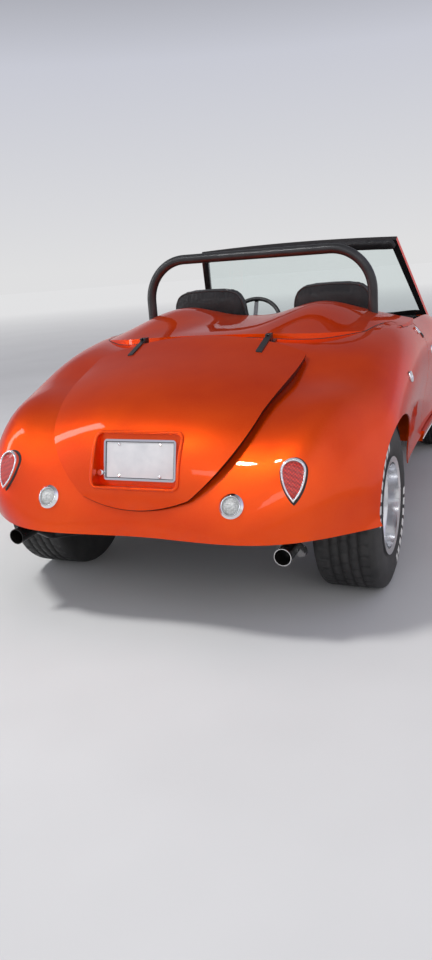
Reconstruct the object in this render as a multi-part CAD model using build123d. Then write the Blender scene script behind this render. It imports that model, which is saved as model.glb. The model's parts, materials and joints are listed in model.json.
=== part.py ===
from build123d import *
import math
import os

# Open two-seat roadster: a moulded sports body on a ladder chassis.
# Millimetres. +X is the car's left, -Y its front, +Z up. The origin lies on the ground
# under the middle of the overall length.

# Overall form
HALF_WIDTH = 907.0
BODY_BASE = 395.0
SKIN = 5.0
SHUT_GAP = 6.0
SEAT_GAP = 0.3
FOOT_LIFT = 40.0
CORE_HALF = 650.0
CORE_LIFT = 250.0
TAIL_PIVOT_Y = 1500.0
NOSE_PIVOT_Y = -1350.0

# Wheels and axles
REAR_AXLE_Y = 1386.0
FRONT_AXLE_Y = -1195.0
REAR_TYRE_R = 352.0
REAR_TYRE_W = 275.0
REAR_TRACK = 1450.0
FRONT_TYRE_R = 325.0
FRONT_TYRE_W = 200.0
FRONT_TRACK = 1400.0
RIM_SEAT_R = 190.0
RIM_LIP_R = 207.5
HUB_BORE_R = 30.0
REAR_ARCH_R = 385.0
FRONT_ARCH_R = 372.0
KINGPIN_X = 590.0

# Cockpit, doors and panels
DOOR_FRONT_Y = -555.0
DOOR_REAR_Y = 398.0
DOOR_INNER_X = 775.0
DOOR_SILL_Z = 455.0
DOOR_BEVEL = 12.0
COCKPIT_HALF = 770.0
FLOOR_Z = 340.3
BULKHEAD_Y = 640.0
FIREWALL_Y = -640.0
TUNNEL_HALF = 112.0
TUNNEL_TOP = 515.0
PANEL = 5.0
WALL_X = 700.0
BONNET_FRONT_Y = -1740.0
BONNET_REAR_Y = -700.0
BONNET_HALF = 455.0
LID_LEAN = 45.0
LID_HINGE_Y = 1250.0
LID_HINGE_Z = 1064.0
HINGE_X = 308.0
LID_UNDERCUT = 10.0
BONNET_HINGE_X = 110.0
BONNET_HINGE_Y = -1742.0
BONNET_HINGE_Z = 836.0
DOOR_HINGE_X = 874.0
DOOR_HINGE_Y = -548.0
DOOR_HINGE_ZS = (560.0, 690.0)
HINGE_R = 9.0
HINGE_PIN_R = 4.0
HINGE_LONG = 30.0

# Roll bar and windscreen
BAR_R = 25.0
BAR_HALF = 619.0
BAR_Y = 524.0
BAR_TOP_Z = 1412.0
BAR_BEND_R = 215.0
SCREEN_BASE_Y = -600.0
SCREEN_BASE_Z = 940.0
SCREEN_RAKE = 36.9
SCREEN_HEIGHT = 648.0
SCREEN_BASE_HALF = 765.0
SCREEN_TOP_HALF = 613.0
SCREEN_BAR = 30.0
SCREEN_HEADER = 54.0
PAD_DEEP = 32.0
PAD_HIGH = 46.0
PAD_ROUND = 14.0
SCREEN_ARCH = 18.0
SCREEN_THICK = 30.0
SCREEN_RAIL = 26.0
SCREEN_LOW = -80.0
GLASS_GAP = 1.2

# Body sections. "nose" and "tail" sections lean about their pivot line by an angle in
# degrees, "cross" sections stand upright at a Y. Insets are measured in from HALF_WIDTH,
# heights up from BODY_BASE within the section's plane.
SECTIONS = [
    # kind, place, foot in, side in, side h, shoulder in, h, crest in, h, valley in, h, crown h
    ("nose", 90, 60, 62, 230, 137, 430, 287, 580, 507, 665, 700),
    ("nose", 60, 57, 49, 230, 107, 400, 267, 545, 457, 590, 640),
    ("nose", 30, 55, 41, 230, 82, 370, 237, 470, 417, 470, 545),
    ("cross", -1350, 55, 39, 250, 72, 385, 222, 455, 407, 430, 505),
    ("cross", -1050, 60, 39, 260, 67, 420, 207, 490, 397, 475, 545),
    ("cross", -700, 68, 45, 290, 65, 470, 162, 540, 367, 545, 588),
    ("cross", -300, 70, 47, 310, 65, 525, 137, 603, 347, 620, 645),
    ("cross", 150, 70, 45, 320, 62, 545, 132, 622, 347, 640, 665),
    ("cross", 600, 62, 35, 320, 55, 560, 132, 636, 347, 655, 680),
    ("cross", 1000, 45, 17, 310, 41, 530, 162, 622, 347, 640, 675),
    ("cross", 1280, 15, 2, 290, 39, 470, 192, 568, 347, 590, 648),
    ("cross", 1500, 8, 0, 290, 45, 400, 202, 495, 347, 507, 575),
    ("tail", 25, 4, 2, 240, 57, 350, 212, 496, 362, 500, 548),
    ("tail", 50, 2, 10, 225, 68, 345, 235, 515, 400, 522, 540),
    ("tail", 72, 2, 16, 235, 85, 355, 245, 515, 420, 545, 545),
    ("tail", 90, 2, 20, 271, 107, 362, 217, 460, 367, 545, 556),
]

# Boot lid sections: height of its face on the centre line and LID_HALF out from it
LID_HALF = 540.0
LID_CORE = 300.0
LID_SECTIONS = [
    # kind, place, edge h, crown h
    ("cross", 1150, 624, 690),
    ("cross", 1342, 590, 657),
    ("cross", 1500, 539, 608),
    ("tail", 30, 513, 586),
    ("tail", 60, 515, 600),
    ("tail", 80, 502, 574),
    ("tail", 92, 493, 560),
]
# Lid outline half: out from the centre line, and along the lid down from its plane's origin
LID_TOP = 138.6
LID_CORNER = (501.0, 244.0)
LID_SIDE = (491.0, 450.0)
LID_KNEE = (450.0, 687.0)
LID_HIP = (374.0, 899.0)
LID_TOE = (226.0, 1061.0)
LID_BOTTOM = 1103.0
LID_ROUND = 35.0

# Headrest fairing sections: heights of its outer edge, flank, hump, valley and middle
FAIRING_EDGE_X = 852.0
FAIRING_FLANK_X = 620.0
HUMP_X = 370.0
VALLEY_X = 140.0
FAIRING_LOW_Z = 700.0
FAIRING_SECTIONS = [
    # y, edge z, flank z, hump z, valley z, middle z
    (380, 1030, 1080, 1102, 1090, 1088),
    (520, 1028, 1089, 1152, 1107, 1099),
    (650, 1022, 1087, 1160, 1111, 1103),
    (850, 1005, 1068, 1134, 1100, 1095),
    (1060, 982, 1036, 1081, 1081, 1081),
    (1220, 955, 1008, 1048, 1062, 1064),
]
# Rear seam of the fairing in plan, from the centre line outwards
FAIRING_SEAM = [(0, 1195), (309, 1165), (496, 1110), (625, 1008), (738, 862), (788, 680), (800, 420)]

# Lamps and fittings, placed by X and Z on the skin
TAIL_LAMP = (616.0, 621.0)
REVERSING_LAMP = (394.0, 532.0)
HEADLAMP = (610.0, 690.0)
PARKING_LAMP = (600.0, 545.0)
# Round bright caps on the rear flanks: y and z on the skin, radius
FLANK_CAPS = [(480.0, 985.0, 22.0), (1104.0, 850.0, 25.0)]
CAP_HIGH = 8.0
REVERSING_LAMP_R = 47.5
HEADLAMP_R = 95.0
PARKING_LAMP_R = 32.0
PLATE_W = 312.0
PLATE_H = 160.0
POCKET_W = 360.0
POCKET_H = 205.0
POCKET_Z = 688.0
POCKET_DEPTH = 47.0
POCKET_FACE = 512.0
POCKET_ROUND = 20.0
POCKET_LIP = 11.0
LIP_RISE = 4.0
PLATE_TILT = 14.4
PLATE_DEEP = 12.0
PLATE_EDGE = 8.0
LOCK_R = 13.0
LOCK_STEM_R = 9.0
LOCK_AT = (-166.5, -52.0)
EXHAUST_X = 580.0
EXHAUST_Z = 350.0
EXHAUST_END_Y = 2042.0
EXHAUST_R = 33.0
PIPE_R = 26.0
PIPE_X = 300.0
PIPE_Z = 268.0
ENGINE_HALF = 235.0

# Chassis
RAIL_X = 375.0
RAIL_W = 50.0
RAIL_H = 90.0
RAIL_FRONT_Z = 400.0
# Rail centre line in side view: y and z
RAIL_LINE = [(-1880, 440), (-1500, 440), (-1290, RAIL_FRONT_Z), (-1100, RAIL_FRONT_Z), (-850, 295), (880, 295),
             (1130, 468), (1960, 468)]
# Cross bars between the rails: y, lower and upper face. The second carries the gearbox and
# holds the exhaust pipes, a seat gap from both.
CROSS_BARS = [(-1800, 412, 468), (-200, 294.3, 330.6), (560, 299, 331), (1900, 440, 496)]
SEAT_X = 358.0
SEAT_HALF = 235.0
SEAT_BASE_Z = 455.0
PINION_Y = 1230.0
SPRING_X = 490.0
HUB_IN = 35.0
LOWER_JOINT_Z = 272.0
UPPER_JOINT_Z = 430.0
DAMPER_X = 486.0
PIN_R = 12.0
SPINDLE_R = 35.0
BEAM_X = 430.0
STEER_R = 190.0
WHEEL_X = 300.0
WHEEL_Y = -250.0
WHEEL_Z = 978.0
COLUMN_LEAN = 25.0
COLUMN_R = 20.0
TAIL_W = 92.0
TAIL_H = 162.0
GRILLE_Z = 565.0
GRILLE_HALF = 329.0
GRILLE_HIGH = 94.0
GRILLE_RING = 14.0
GRILLE_BARS = 7
GRILLE_PITCH = 40.0
ENGINE_FRONT_Y = -1120.0
ENGINE_REAR_Y = -660.0
BOOT_FLOOR_Z = 514.0
BOOT_HALF = 548.0
PEDAL_XS = (190.0, 290.0, 390.0)
LEVER_Y = -150.0
TANK_HALF = 335.0


def block(x0, x1, y0, y1, z0, z1):
    """A box between two corners."""
    solid = Box(x1 - x0, y1 - y0, z1 - z0, align=(Align.MIN, Align.MIN, Align.MIN))
    return Pos(x0, y0, z0) * solid


def rod(start, end, radius):
    """A round bar between two points."""
    a, b = Vector(*start), Vector(*end)
    plane = Plane(origin=a, z_dir=(b - a))
    return plane * Cylinder(radius, (b - a).length, align=(Align.CENTER, Align.CENTER, Align.MIN))


def tube(points, bends, radius):
    """A round bar along straight runs joined by arcs."""
    path = FilletPolyline(*points, radius=bends)
    start = Plane(origin=path @ 0, z_dir=path % 0)
    return sweep(start * Circle(radius), path=path)


def ring_x(profile, centre):
    """A solid turned about the X direction through a centre; profile is (x, radius) pairs."""
    wire = Polyline(*[(x, r) for x, r in profile], close=True)
    turned = revolve(make_face(wire), Axis.X)
    return Pos(*centre) * turned


def both_sides(solid):
    """A solid with its mirror image on the other side of the car."""
    return Compound(children=[solid, mirror(solid, Plane.YZ)])


def save(name, solid):
    export_step(solid, os.path.join("parts", name + ".step"))


def section_plane(kind, place):
    """The plane of a body section: local X across the car, local Y up or leaning."""
    if kind == "cross":
        return Plane(origin=(0, place, BODY_BASE), x_dir=(1, 0, 0), z_dir=(0, -1, 0))
    lean = math.radians(place)
    sign = 1 if kind == "tail" else -1
    pivot = TAIL_PIVOT_Y if kind == "tail" else NOSE_PIVOT_Y
    normal = (0, -math.cos(lean), sign * math.sin(lean))
    return Plane(origin=(0, pivot, BODY_BASE), x_dir=(1, 0, 0), z_dir=normal)


def closed_section(kind, place, half, crown):
    """A face under a smooth symmetrical curve through half its points and its crown."""
    curve = Spline(*[(-x, h) for x, h in half], (0, crown), *[(x, h) for x, h in reversed(half)])
    floor = Polyline(curve @ 1, (CORE_HALF, CORE_LIFT), (-CORE_HALF, CORE_LIFT), curve @ 0)
    return section_plane(kind, place) * make_face([curve, floor])


def thin_section(kind, place, outer_half, inner_half, crown, inner_crown):
    """A thin strip between an outer and an inner section curve."""
    outer = Spline(*[(-x, h) for x, h in outer_half], (0, crown),
                   *[(x, h) for x, h in reversed(outer_half)])
    inner = Spline(*[(-x, h) for x, h in inner_half], (0, inner_crown),
                   *[(x, h) for x, h in reversed(inner_half)])
    edges = [outer, Line(outer @ 1, inner @ 1), inner, Line(inner @ 0, outer @ 0)]
    return section_plane(kind, place) * make_face(edges)


def half_points(row, inset):
    """Half of a body section, drawn inwards by an inset."""
    kind, place, foot, side, side_h, shoulder, sh_h, crest, cr_h, valley, va_h, crown = row
    points = [(foot, FOOT_LIFT, 1.0, 0.0), (side, side_h, 1.0, 0.0), (shoulder, sh_h, 0.8, 0.7),
              (crest, cr_h, 0.4, 1.0), (valley, va_h, 0.0, 1.0)]
    return [(HALF_WIDTH - x - inset * dx, h - inset * dh) for x, h, dx, dh in points]


def body_form(inset):
    """The body as a full solid, drawn inwards by an inset."""
    faces = []
    for row in SECTIONS:
        faces.append(closed_section(row[0], row[1], half_points(row, inset), row[-1] - inset))
    return loft(faces)


def body_skin():
    """The body's skin as one thin shell from nose to tail."""
    faces = []
    for row in SECTIONS:
        faces.append(thin_section(row[0], row[1], half_points(row, 0), half_points(row, SKIN),
                                  row[-1], row[-1] - SKIN))
    return loft(faces)


def lid_solid(drop):
    """The boot lid's face as a full solid, or lowered by a drop."""
    faces = []
    for kind, place, edge, crown in LID_SECTIONS:
        arc = ThreePointArc((-LID_HALF, edge - drop), (0, crown - drop), (LID_HALF, edge - drop))
        walls = Polyline(arc @ 1, (LID_HALF, LID_CORE), (-LID_HALF, LID_CORE), arc @ 0)
        faces.append(section_plane(kind, place) * make_face([arc, walls]))
    return loft(faces)


def lid_prism(grow):
    """The lid's outline carried along its lean, grown or shrunk all round."""
    lean = math.radians(LID_LEAN)
    plane = Plane(origin=(0, 0, 0), x_dir=(1, 0, 0), z_dir=(0, math.sin(lean), math.cos(lean)))
    right = [LID_CORNER, LID_SIDE, LID_KNEE, LID_HIP, LID_TOE]
    left = [(-x, along) for x, along in reversed(right)]
    points = [(0, LID_TOP)] + right + [(0, LID_BOTTOM)] + left
    points = grown(points, grow)
    arcs = [ThreePointArc(points[n - 1], points[n], points[(n + 1) % 12]) for n in range(0, 12, 2)]
    face = make_face(arcs)
    corners = face.vertices().sort_by(Axis.Y)[:2]
    return extrude(plane * fillet(corners, LID_ROUND), 2600)


def grown(points, grow):
    """A closed outline's points moved outwards, each along its own normal."""
    moved = []
    for n, (x, y) in enumerate(points):
        ahead, behind = points[(n + 1) % len(points)], points[n - 1]
        dx, dy = ahead[0] - behind[0], ahead[1] - behind[1]
        size = math.hypot(dx, dy)
        moved.append((x + grow * dy / size, y - grow * dx / size))
    return moved


def raised(solid, lift):
    """A solid moved straight up by a lift."""
    return Pos(0, 0, lift) * solid


def upright_prism(points, low, high):
    """A vertical prism over a closed plan outline."""
    face = make_face(Polyline(*points, close=True))
    return Pos(0, 0, low) * extrude(face, high - low)


def fairing_outline(grow):
    """The fairing's plan outline as a face, grown or shrunk all round."""
    left = [(-x, y) for x, y in FAIRING_SEAM[1:]]
    seam = Spline(*grown(FAIRING_SEAM[::-1] + left, grow))
    return make_face([seam, Line(seam @ 1, seam @ 0)])


def fairing_form(drop):
    """The twin-hump fairing as a full solid, its top lowered by a drop."""
    faces = []
    for y, edge, flank, hump, valley, middle in FAIRING_SECTIONS:
        half = [(FAIRING_EDGE_X, edge - drop), (FAIRING_FLANK_X, flank - drop),
                (HUMP_X, hump - drop), (VALLEY_X, valley - drop)]
        curve = Spline(*[(-x, z) for x, z in half], (0, middle - drop),
                       *[(x, z) for x, z in reversed(half)])
        walls = Polyline(curve @ 1, (FAIRING_EDGE_X, FAIRING_LOW_Z), (-FAIRING_EDGE_X, FAIRING_LOW_Z),
                         curve @ 0)
        plane = Plane(origin=(0, y, 0), x_dir=(1, 0, 0), z_dir=(0, -1, 0))
        faces.append(plane * make_face([curve, walls]))
    return loft(faces)


def wheel_arches(axle_y, axle_z, radius, inner_x):
    """Both sides' round arch cutters."""
    cut = rod((inner_x, axle_y, axle_z), (HALF_WIDTH + 100, axle_y, axle_z), radius)
    return cut + mirror(cut, Plane.YZ)


def make_body():
    skin = body_skin()
    full = body_form(0)
    lining = body_form(SKIN + SEAT_GAP)
    return skin, full, lining


def make_rear_body(skin):
    body = skin & block(-1200, 1200, DOOR_REAR_Y + SHUT_GAP, 2600, 0, 2000)
    body -= extrude(fairing_outline(-25), 2000)
    body -= block(-COCKPIT_HALF, COCKPIT_HALF, 0, 600, 600, 2000)
    body -= lid_prism(-22)
    body -= wheel_arches(REAR_AXLE_Y, REAR_TYRE_R, REAR_ARCH_R, 560)
    return body


def make_front_body(skin):
    body = skin & block(-1200, 1200, -2600, DOOR_FRONT_Y - SHUT_GAP, 0, 2000)
    body -= bonnet_prism(SHUT_GAP)
    body -= wheel_arches(FRONT_AXLE_Y, FRONT_TYRE_R, FRONT_ARCH_R, 560)
    body -= grille_prism()
    return body


def bonnet_prism(grow):
    """The bonnet's plan outline as a tall prism."""
    width = 2 * (BONNET_HALF + grow)
    length = BONNET_REAR_Y - BONNET_FRONT_Y + 2 * grow
    face = RectangleRounded(width, length, 60 + grow)
    return Pos(0, (BONNET_FRONT_Y + BONNET_REAR_Y) / 2, 500) * extrude(face, 1000)


def grille_prism():
    """The wide oval mouth in the nose, as a prism running forwards."""
    plane = Plane(origin=(0, -1700, GRILLE_Z), x_dir=(1, 0, 0), z_dir=(0, -1, 0))
    return extrude(plane * Ellipse(GRILLE_HALF + 1, GRILLE_HIGH + 1), 700)


def sloped(lug, end):
    """A hinge lug with one top edge chamfered: end 0 is its front edge, -1 its rear one."""
    top = lug.edges().filter_by(Axis.X).group_by(Axis.Z)[-1]
    return chamfer(top.sort_by(Axis.Y)[end], HINGE_R)


def make_bonnet(skin, lining):
    """The bonnet's panel with the barrels of its two front hinges."""
    bonnet = skin & bonnet_prism(0)
    y, z = BONNET_HINGE_Y, BONNET_HINGE_Z
    for side in (-1, 1):
        x = side * BONNET_HINGE_X
        arm = rod((x - 6, y, z), (x + 6, y, z), HINGE_R)
        arm += sloped(block(x - 6, x + 6, y, y + HINGE_LONG, z - 60, z + HINGE_R), -1)
        arm -= rod((x - 7, y, z), (x + 7, y, z), HINGE_PIN_R + SEAT_GAP)
        bonnet += arm - lining
    return bonnet


def make_bonnet_hinges(full):
    """The fixed leaves and pins of the bonnet's two hinges, standing on the nose."""
    leaves = []
    y, z = BONNET_HINGE_Y, BONNET_HINGE_Z
    for side in (-1, 1):
        x = side * BONNET_HINGE_X
        leaf = rod((x - 14, y, z), (x + 14, y, z), HINGE_R)
        leaf += sloped(block(x - 14, x + 14, y - HINGE_LONG, y, z - 60, z + HINGE_R), 0)
        leaf -= block(x - 6.3, x + 6.3, y - HINGE_R - 3, y + HINGE_LONG, z - 70, z + 20)
        leaf += rod((x - 13, y, z), (x + 13, y, z), HINGE_PIN_R)
        leaves.append(largest(leaf - raised(full, SEAT_GAP)))
    return leaves


def make_door_hinges(full):
    """The fixed leaves and pins of the left door's two outside hinges."""
    leaves = []
    x, y = DOOR_HINGE_X, DOOR_HINGE_Y
    half = HINGE_LONG / 2
    for z in DOOR_HINGE_ZS:
        leaf = rod((x, y, z - 35), (x, y, z + 35), HINGE_R)
        leaf += block(x - 60, x + 3, y - 45, y - 3, z - 35, z + 35) & Pos(6, 0, 0) * full
        leaf += block(x - 40, x + 3, y - 20, y - 8, z - 35, z + 35)
        leaf -= block(x - 60, x + 20, y - 12.5, y + 20, z - half - SEAT_GAP, z + half + SEAT_GAP)
        leaf += rod((x, y, z - 34), (x, y, z + 34), HINGE_PIN_R)
        leaves.append(largest(leaf - Pos(SEAT_GAP, 0, 0) * full))
    return leaves


def make_lid(full):
    """The boot lid: a domed face, a return wall set in under its edge, and a pressed plate pocket."""
    top = lid_solid(0)
    core = lid_solid(SKIN)
    above = block(-HALF_WIDTH, HALF_WIDTH, 1000, 2300, BODY_BASE + 20, 1500)
    wall = (top & lid_prism(-LID_UNDERCUT) & above) - (core & lid_prism(-LID_UNDERCUT - SKIN))
    lid = ((top & lid_prism(0) & above) - core) + wall
    lean = math.radians(LID_LEAN)
    lift = 4.0
    lid -= Pos(0, lift * math.sin(lean), lift * math.cos(lean)) * full
    pocket = pocket_plane()
    shell = extrude(pocket * Pos(0, 0, -SKIN) * pocket_face(SKIN), POCKET_DEPTH + 60)
    lip = extrude(pocket * pocket_face(POCKET_LIP), POCKET_DEPTH + 60)
    hollow = extrude(pocket * pocket_face(0), POCKET_DEPTH + 160)
    return lid + (shell & top) + (lip & lid_solid(-LIP_RISE)) - (lip & core - shell) - hollow


def pocket_face(grow):
    """The plate pocket's rounded outline, grown all round."""
    return RectangleRounded(POCKET_W + 2 * grow, POCKET_H + 2 * grow, POCKET_ROUND + grow)


def pocket_plane():
    """The floor of the plate pocket, facing rearwards and a little up."""
    tilt = math.radians(PLATE_TILT)
    normal = Vector(0, math.cos(tilt), math.sin(tilt))
    face_y = TAIL_PIVOT_Y + POCKET_FACE
    origin = Vector(0, face_y, POCKET_Z) - normal * POCKET_DEPTH
    return Plane(origin=origin, x_dir=(-1, 0, 0), z_dir=normal)


def make_fairing(full):
    """The headrest fairing: a thin humped panel whose edges stand on the body."""
    outline = extrude(fairing_outline(0), 1400)
    inside = extrude(fairing_outline(-SKIN), 1400)
    panel = (fairing_form(0) & outline) - (fairing_form(SKIN) & inside)
    panel -= raised(full, SEAT_GAP)
    panel = panel & block(-1000, 1000, 0, 2000, 900, 1400)
    for side in (-1, 1):
        panel -= rod((side * BAR_HALF, BAR_Y, 800), (side * BAR_HALF, BAR_Y, 1300), BAR_R + SEAT_GAP)
    return panel


def make_door(full):
    """The left door: full thickness, its rear end bevelled to swing clear."""
    outline = [(DOOR_INNER_X, DOOR_FRONT_Y), (1000, DOOR_FRONT_Y), (1000, DOOR_REAR_Y),
               (DOOR_INNER_X + 70, DOOR_REAR_Y), (DOOR_INNER_X, DOOR_REAR_Y - DOOR_BEVEL)]
    door = full & upright_prism(outline, DOOR_SILL_Z, 1200)
    pocket = block(DOOR_INNER_X - 1, DOOR_INNER_X + 25, DOOR_FRONT_Y + 110, DOOR_REAR_Y - 150,
                   DOOR_SILL_Z + 60, DOOR_SILL_Z + 380)
    door -= pocket
    x, y = DOOR_HINGE_X, DOOR_HINGE_Y
    half = HINGE_LONG / 2
    for z in DOOR_HINGE_ZS:
        door += rod((x, y, z - half), (x, y, z + half), HINGE_R)
        door += block(x - 40, x, y - 5, y + 5, z - half, z + half)
        door -= rod((x, y, z - half - 1), (x, y, z + half + 1), HINGE_PIN_R + SEAT_GAP)
    return door


def make_rocker():
    """The left sill: body side section below the door, carried along the car."""
    top = DOOR_SILL_Z - SHUT_GAP
    front = DOOR_FRONT_Y - SHUT_GAP + SEAT_GAP
    rear = DOOR_REAR_Y + SHUT_GAP - SEAT_GAP
    faces = []
    for y, foot in ((front, 840.5), (-100, 838), (rear, 842)):
        outline = [(WALL_X + PANEL, BODY_BASE), (foot, BODY_BASE), (foot + 14, top),
                   (WALL_X + PANEL, top)]
        plane = Plane(origin=(0, y, 0), x_dir=(1, 0, 0), z_dir=(0, -1, 0))
        faces.append(plane * make_face(Polyline(*outline, close=True)))
    return loft(faces)


def make_floor():
    """Floor, tunnel, footwell wall, side walls and bulkheads of the cockpit."""
    top = FLOOR_Z + PANEL
    half = WALL_X
    floor = block(-half, half, FIREWALL_Y, BULKHEAD_Y, FLOOR_Z, top)
    floor -= block(-TUNNEL_HALF, TUNNEL_HALF, FIREWALL_Y, BULKHEAD_Y, FLOOR_Z, top)
    tunnel = block(-TUNNEL_HALF - PANEL, TUNNEL_HALF + PANEL, FIREWALL_Y, BULKHEAD_Y, FLOOR_Z, TUNNEL_TOP)
    tunnel -= block(-TUNNEL_HALF, TUNNEL_HALF, FIREWALL_Y - 1, BULKHEAD_Y + 1, FLOOR_Z - 1,
                    TUNNEL_TOP - PANEL)
    sill = block(half, half + PANEL - SEAT_GAP, DOOR_FRONT_Y - 85, BULKHEAD_Y, FLOOR_Z, DOOR_SILL_Z - SHUT_GAP)
    side = block(half, half + PANEL - SEAT_GAP, DOOR_REAR_Y + SHUT_GAP, BULKHEAD_Y, FLOOR_Z, 1000)
    walls = sill + side
    walls += mirror(walls, Plane.YZ)
    back = block(-half - PANEL, half + PANEL, BULKHEAD_Y, BULKHEAD_Y + PANEL, FLOOR_Z, 1000)
    shaft_way = block(-TUNNEL_HALF, TUNNEL_HALF, FIREWALL_Y - 1, BULKHEAD_Y + PANEL + 1, FLOOR_Z - 1,
                      TUNNEL_TOP - PANEL)
    return floor + tunnel + walls + footwell_wall() + back - shaft_way


def footwell_wall():
    """The plate between engine bay and footwells, rounded off under the scuttle."""
    half = 812.0
    arch = ThreePointArc((745, 900), (0, 968), (-745, 900))
    edge = Polyline(arch @ 1, (-half, 830), (-half, FLOOR_Z), (half, FLOOR_Z), (half, 830), arch @ 0)
    plane = Plane(origin=(0, FIREWALL_Y + PANEL, 0), x_dir=(1, 0, 0), z_dir=(0, -1, 0))
    return extrude(plane * make_face([arch, edge]), PANEL)


def make_jambs(lining):
    """Closing plates between skin and side wall at both ends of each door opening."""
    low = DOOR_SILL_Z + 240
    rear_y = DOOR_REAR_Y + SHUT_GAP
    front_y = DOOR_FRONT_Y - SHUT_GAP
    rear = block(WALL_X + PANEL, 880, rear_y, rear_y + PANEL, low, 1100) & lining
    rear += block(WALL_X + PANEL, 830, rear_y, rear_y + PANEL, BODY_BASE, low)
    front = block(WALL_X + PANEL, 880, front_y - PANEL, front_y, low, 1100) & lining
    front += block(WALL_X + PANEL, 826, front_y - PANEL, front_y, BODY_BASE, low)
    return rear, front


def make_dashboard(lining):
    """The padded dashboard under the scuttle, with its row of round dials."""
    column = steering_axis()
    panel = block(-690, 690, -612, -560, 800, 1100) & lining
    dials = [(300, 885, 52), (190, 885, 36), (410, 885, 36), (0, 890, 30), (-90, 890, 30)]
    for x, z, radius in dials:
        panel += rod((x, -565, z), (x, -550, z), radius)
    return panel - rod(column @ 0, column @ 1, COLUMN_R + 4)


def steering_axis():
    """The steering column's centre line, from the wheel's hub down to the footwell wall."""
    lean = math.radians(COLUMN_LEAN)
    hub = Vector(WHEEL_X, WHEEL_Y, WHEEL_Z)
    run = WHEEL_Y - FIREWALL_Y - PANEL - SEAT_GAP - COLUMN_R * math.sin(lean)
    reach = run / math.cos(lean)
    return Line(hub, hub - Vector(0, math.cos(lean), math.sin(lean)) * reach)


def make_steering():
    """The three-spoked wheel and its column, two pieces."""
    axis = steering_axis()
    along = (axis @ 0 - axis @ 1).normalized()
    plane = Plane(origin=axis @ 0, x_dir=(1, 0, 0), z_dir=along)
    rim = Torus(STEER_R - 13, 13)
    hub = Pos(0, 0, -22) * Cylinder(34, 24)
    spokes = Pos(0, 0, -14) * Cylinder(40, 5)
    for turn in (0, 180, 270):
        spokes += Rot(0, 0, turn) * Pos((STEER_R - 6) / 2, 0, -11 + 2) * Box(STEER_R - 20, 26, 5)
    wheel = plane * (rim + hub + spokes)
    end = (axis @ 0) - along * (34 + SEAT_GAP)
    column = rod(end, axis @ 1, COLUMN_R)
    return wheel, column


def make_seat(side):
    """One bucket seat: cushion and a raked back with its headrest."""
    x0, x1 = side * SEAT_X - SEAT_HALF, side * SEAT_X + SEAT_HALF
    profile = Polyline((-130, SEAT_BASE_Z), (-150, 560), (-120, 615), (150, 590), (262, 1215), (290, 1248),
                       (340, 1250), (368, 1215), (290, 560), (230, SEAT_BASE_Z), close=True)
    plane = Plane(origin=(x0, 0, 0), x_dir=(0, 1, 0), z_dir=(1, 0, 0))
    body = extrude(plane * make_face(profile), x1 - x0)
    head = Plane(origin=(side * SEAT_X, 0, 0), x_dir=(1, 0, 0), z_dir=(0, -1, 0))
    shape = Polyline((-SEAT_HALF, 400), (-SEAT_HALF, 1040), (-SEAT_HALF + 45, 1160), (-110, 1251),
                     (110, 1251), (SEAT_HALF - 45, 1160), (SEAT_HALF, 1040), (SEAT_HALF, 400), close=True)
    cut = Pos(0, 600, 0) * extrude(head * make_face(shape), 1200)
    return body & cut


def make_seat_rails():
    """Two rails under each seat, from floor to cushion."""
    rails = []
    for side in (-1, 1):
        for off in (-150, 150):
            x = side * SEAT_X + off
            rail = block(x - 15, x + 15, -80, 200, FLOOR_Z + PANEL, SEAT_BASE_Z - SEAT_GAP)
            rails.append(rail - block(x - 16, x + 16, -20, 140, FLOOR_Z + PANEL - 1, SEAT_BASE_Z - 30))
    return Compound(children=rails)


def make_roll_bar():
    """A single hoop of round tube with a foot plate under each leg."""
    foot = FLOOR_Z + PANEL + 12
    points = [(-BAR_HALF, BAR_Y, foot), (-BAR_HALF, BAR_Y, BAR_TOP_Z), (BAR_HALF, BAR_Y, BAR_TOP_Z),
              (BAR_HALF, BAR_Y, foot)]
    hoop = tube(points, BAR_BEND_R, BAR_R)
    for side in (-1, 1):
        x = side * BAR_HALF
        hoop += block(x - 55, x + 55, BAR_Y - 55, BAR_Y + 55, FLOOR_Z + PANEL, foot)
    return hoop


def screen_plane():
    """The windscreen's leaning plane: local X across the car, local Y up the glass."""
    rake = math.radians(SCREEN_RAKE)
    up = Vector(0, math.sin(rake), math.cos(rake))
    normal = Vector(1, 0, 0).cross(up)
    return Plane(origin=(0, SCREEN_BASE_Y, SCREEN_BASE_Z), x_dir=(1, 0, 0), z_dir=normal)


def screen_face(inset, drop):
    """The windscreen's outline with an arched top, drawn in by an inset and a drop."""
    base, top = SCREEN_BASE_HALF - inset, SCREEN_TOP_HALF - inset
    height = SCREEN_HEIGHT - drop
    arch = ThreePointArc((top, height - SCREEN_ARCH), (0, height), (-top, height - SCREEN_ARCH))
    walls = Polyline(arch @ 1, (-base, SCREEN_LOW), (base, SCREEN_LOW), arch @ 0)
    return screen_plane() * make_face([arch, walls])


def make_windscreen(full):
    """The black screen frame, its bottom rail lying on the scuttle, and the flat glass."""
    thick = SCREEN_THICK
    outer = extrude(screen_face(0, 0), thick / 2, both=True)
    inner = extrude(screen_face(SCREEN_BAR, SCREEN_HEADER), thick, both=True)
    frame = outer - inner
    rail = (outer & raised(full, SCREEN_RAIL))
    frame = frame + rail - raised(full, SEAT_GAP)
    glass = extrude(screen_face(SCREEN_BAR + GLASS_GAP, SCREEN_HEADER + GLASS_GAP), 3, both=True)
    glass -= raised(full, SCREEN_RAIL + SEAT_GAP)
    return largest(frame), largest(glass)


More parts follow.
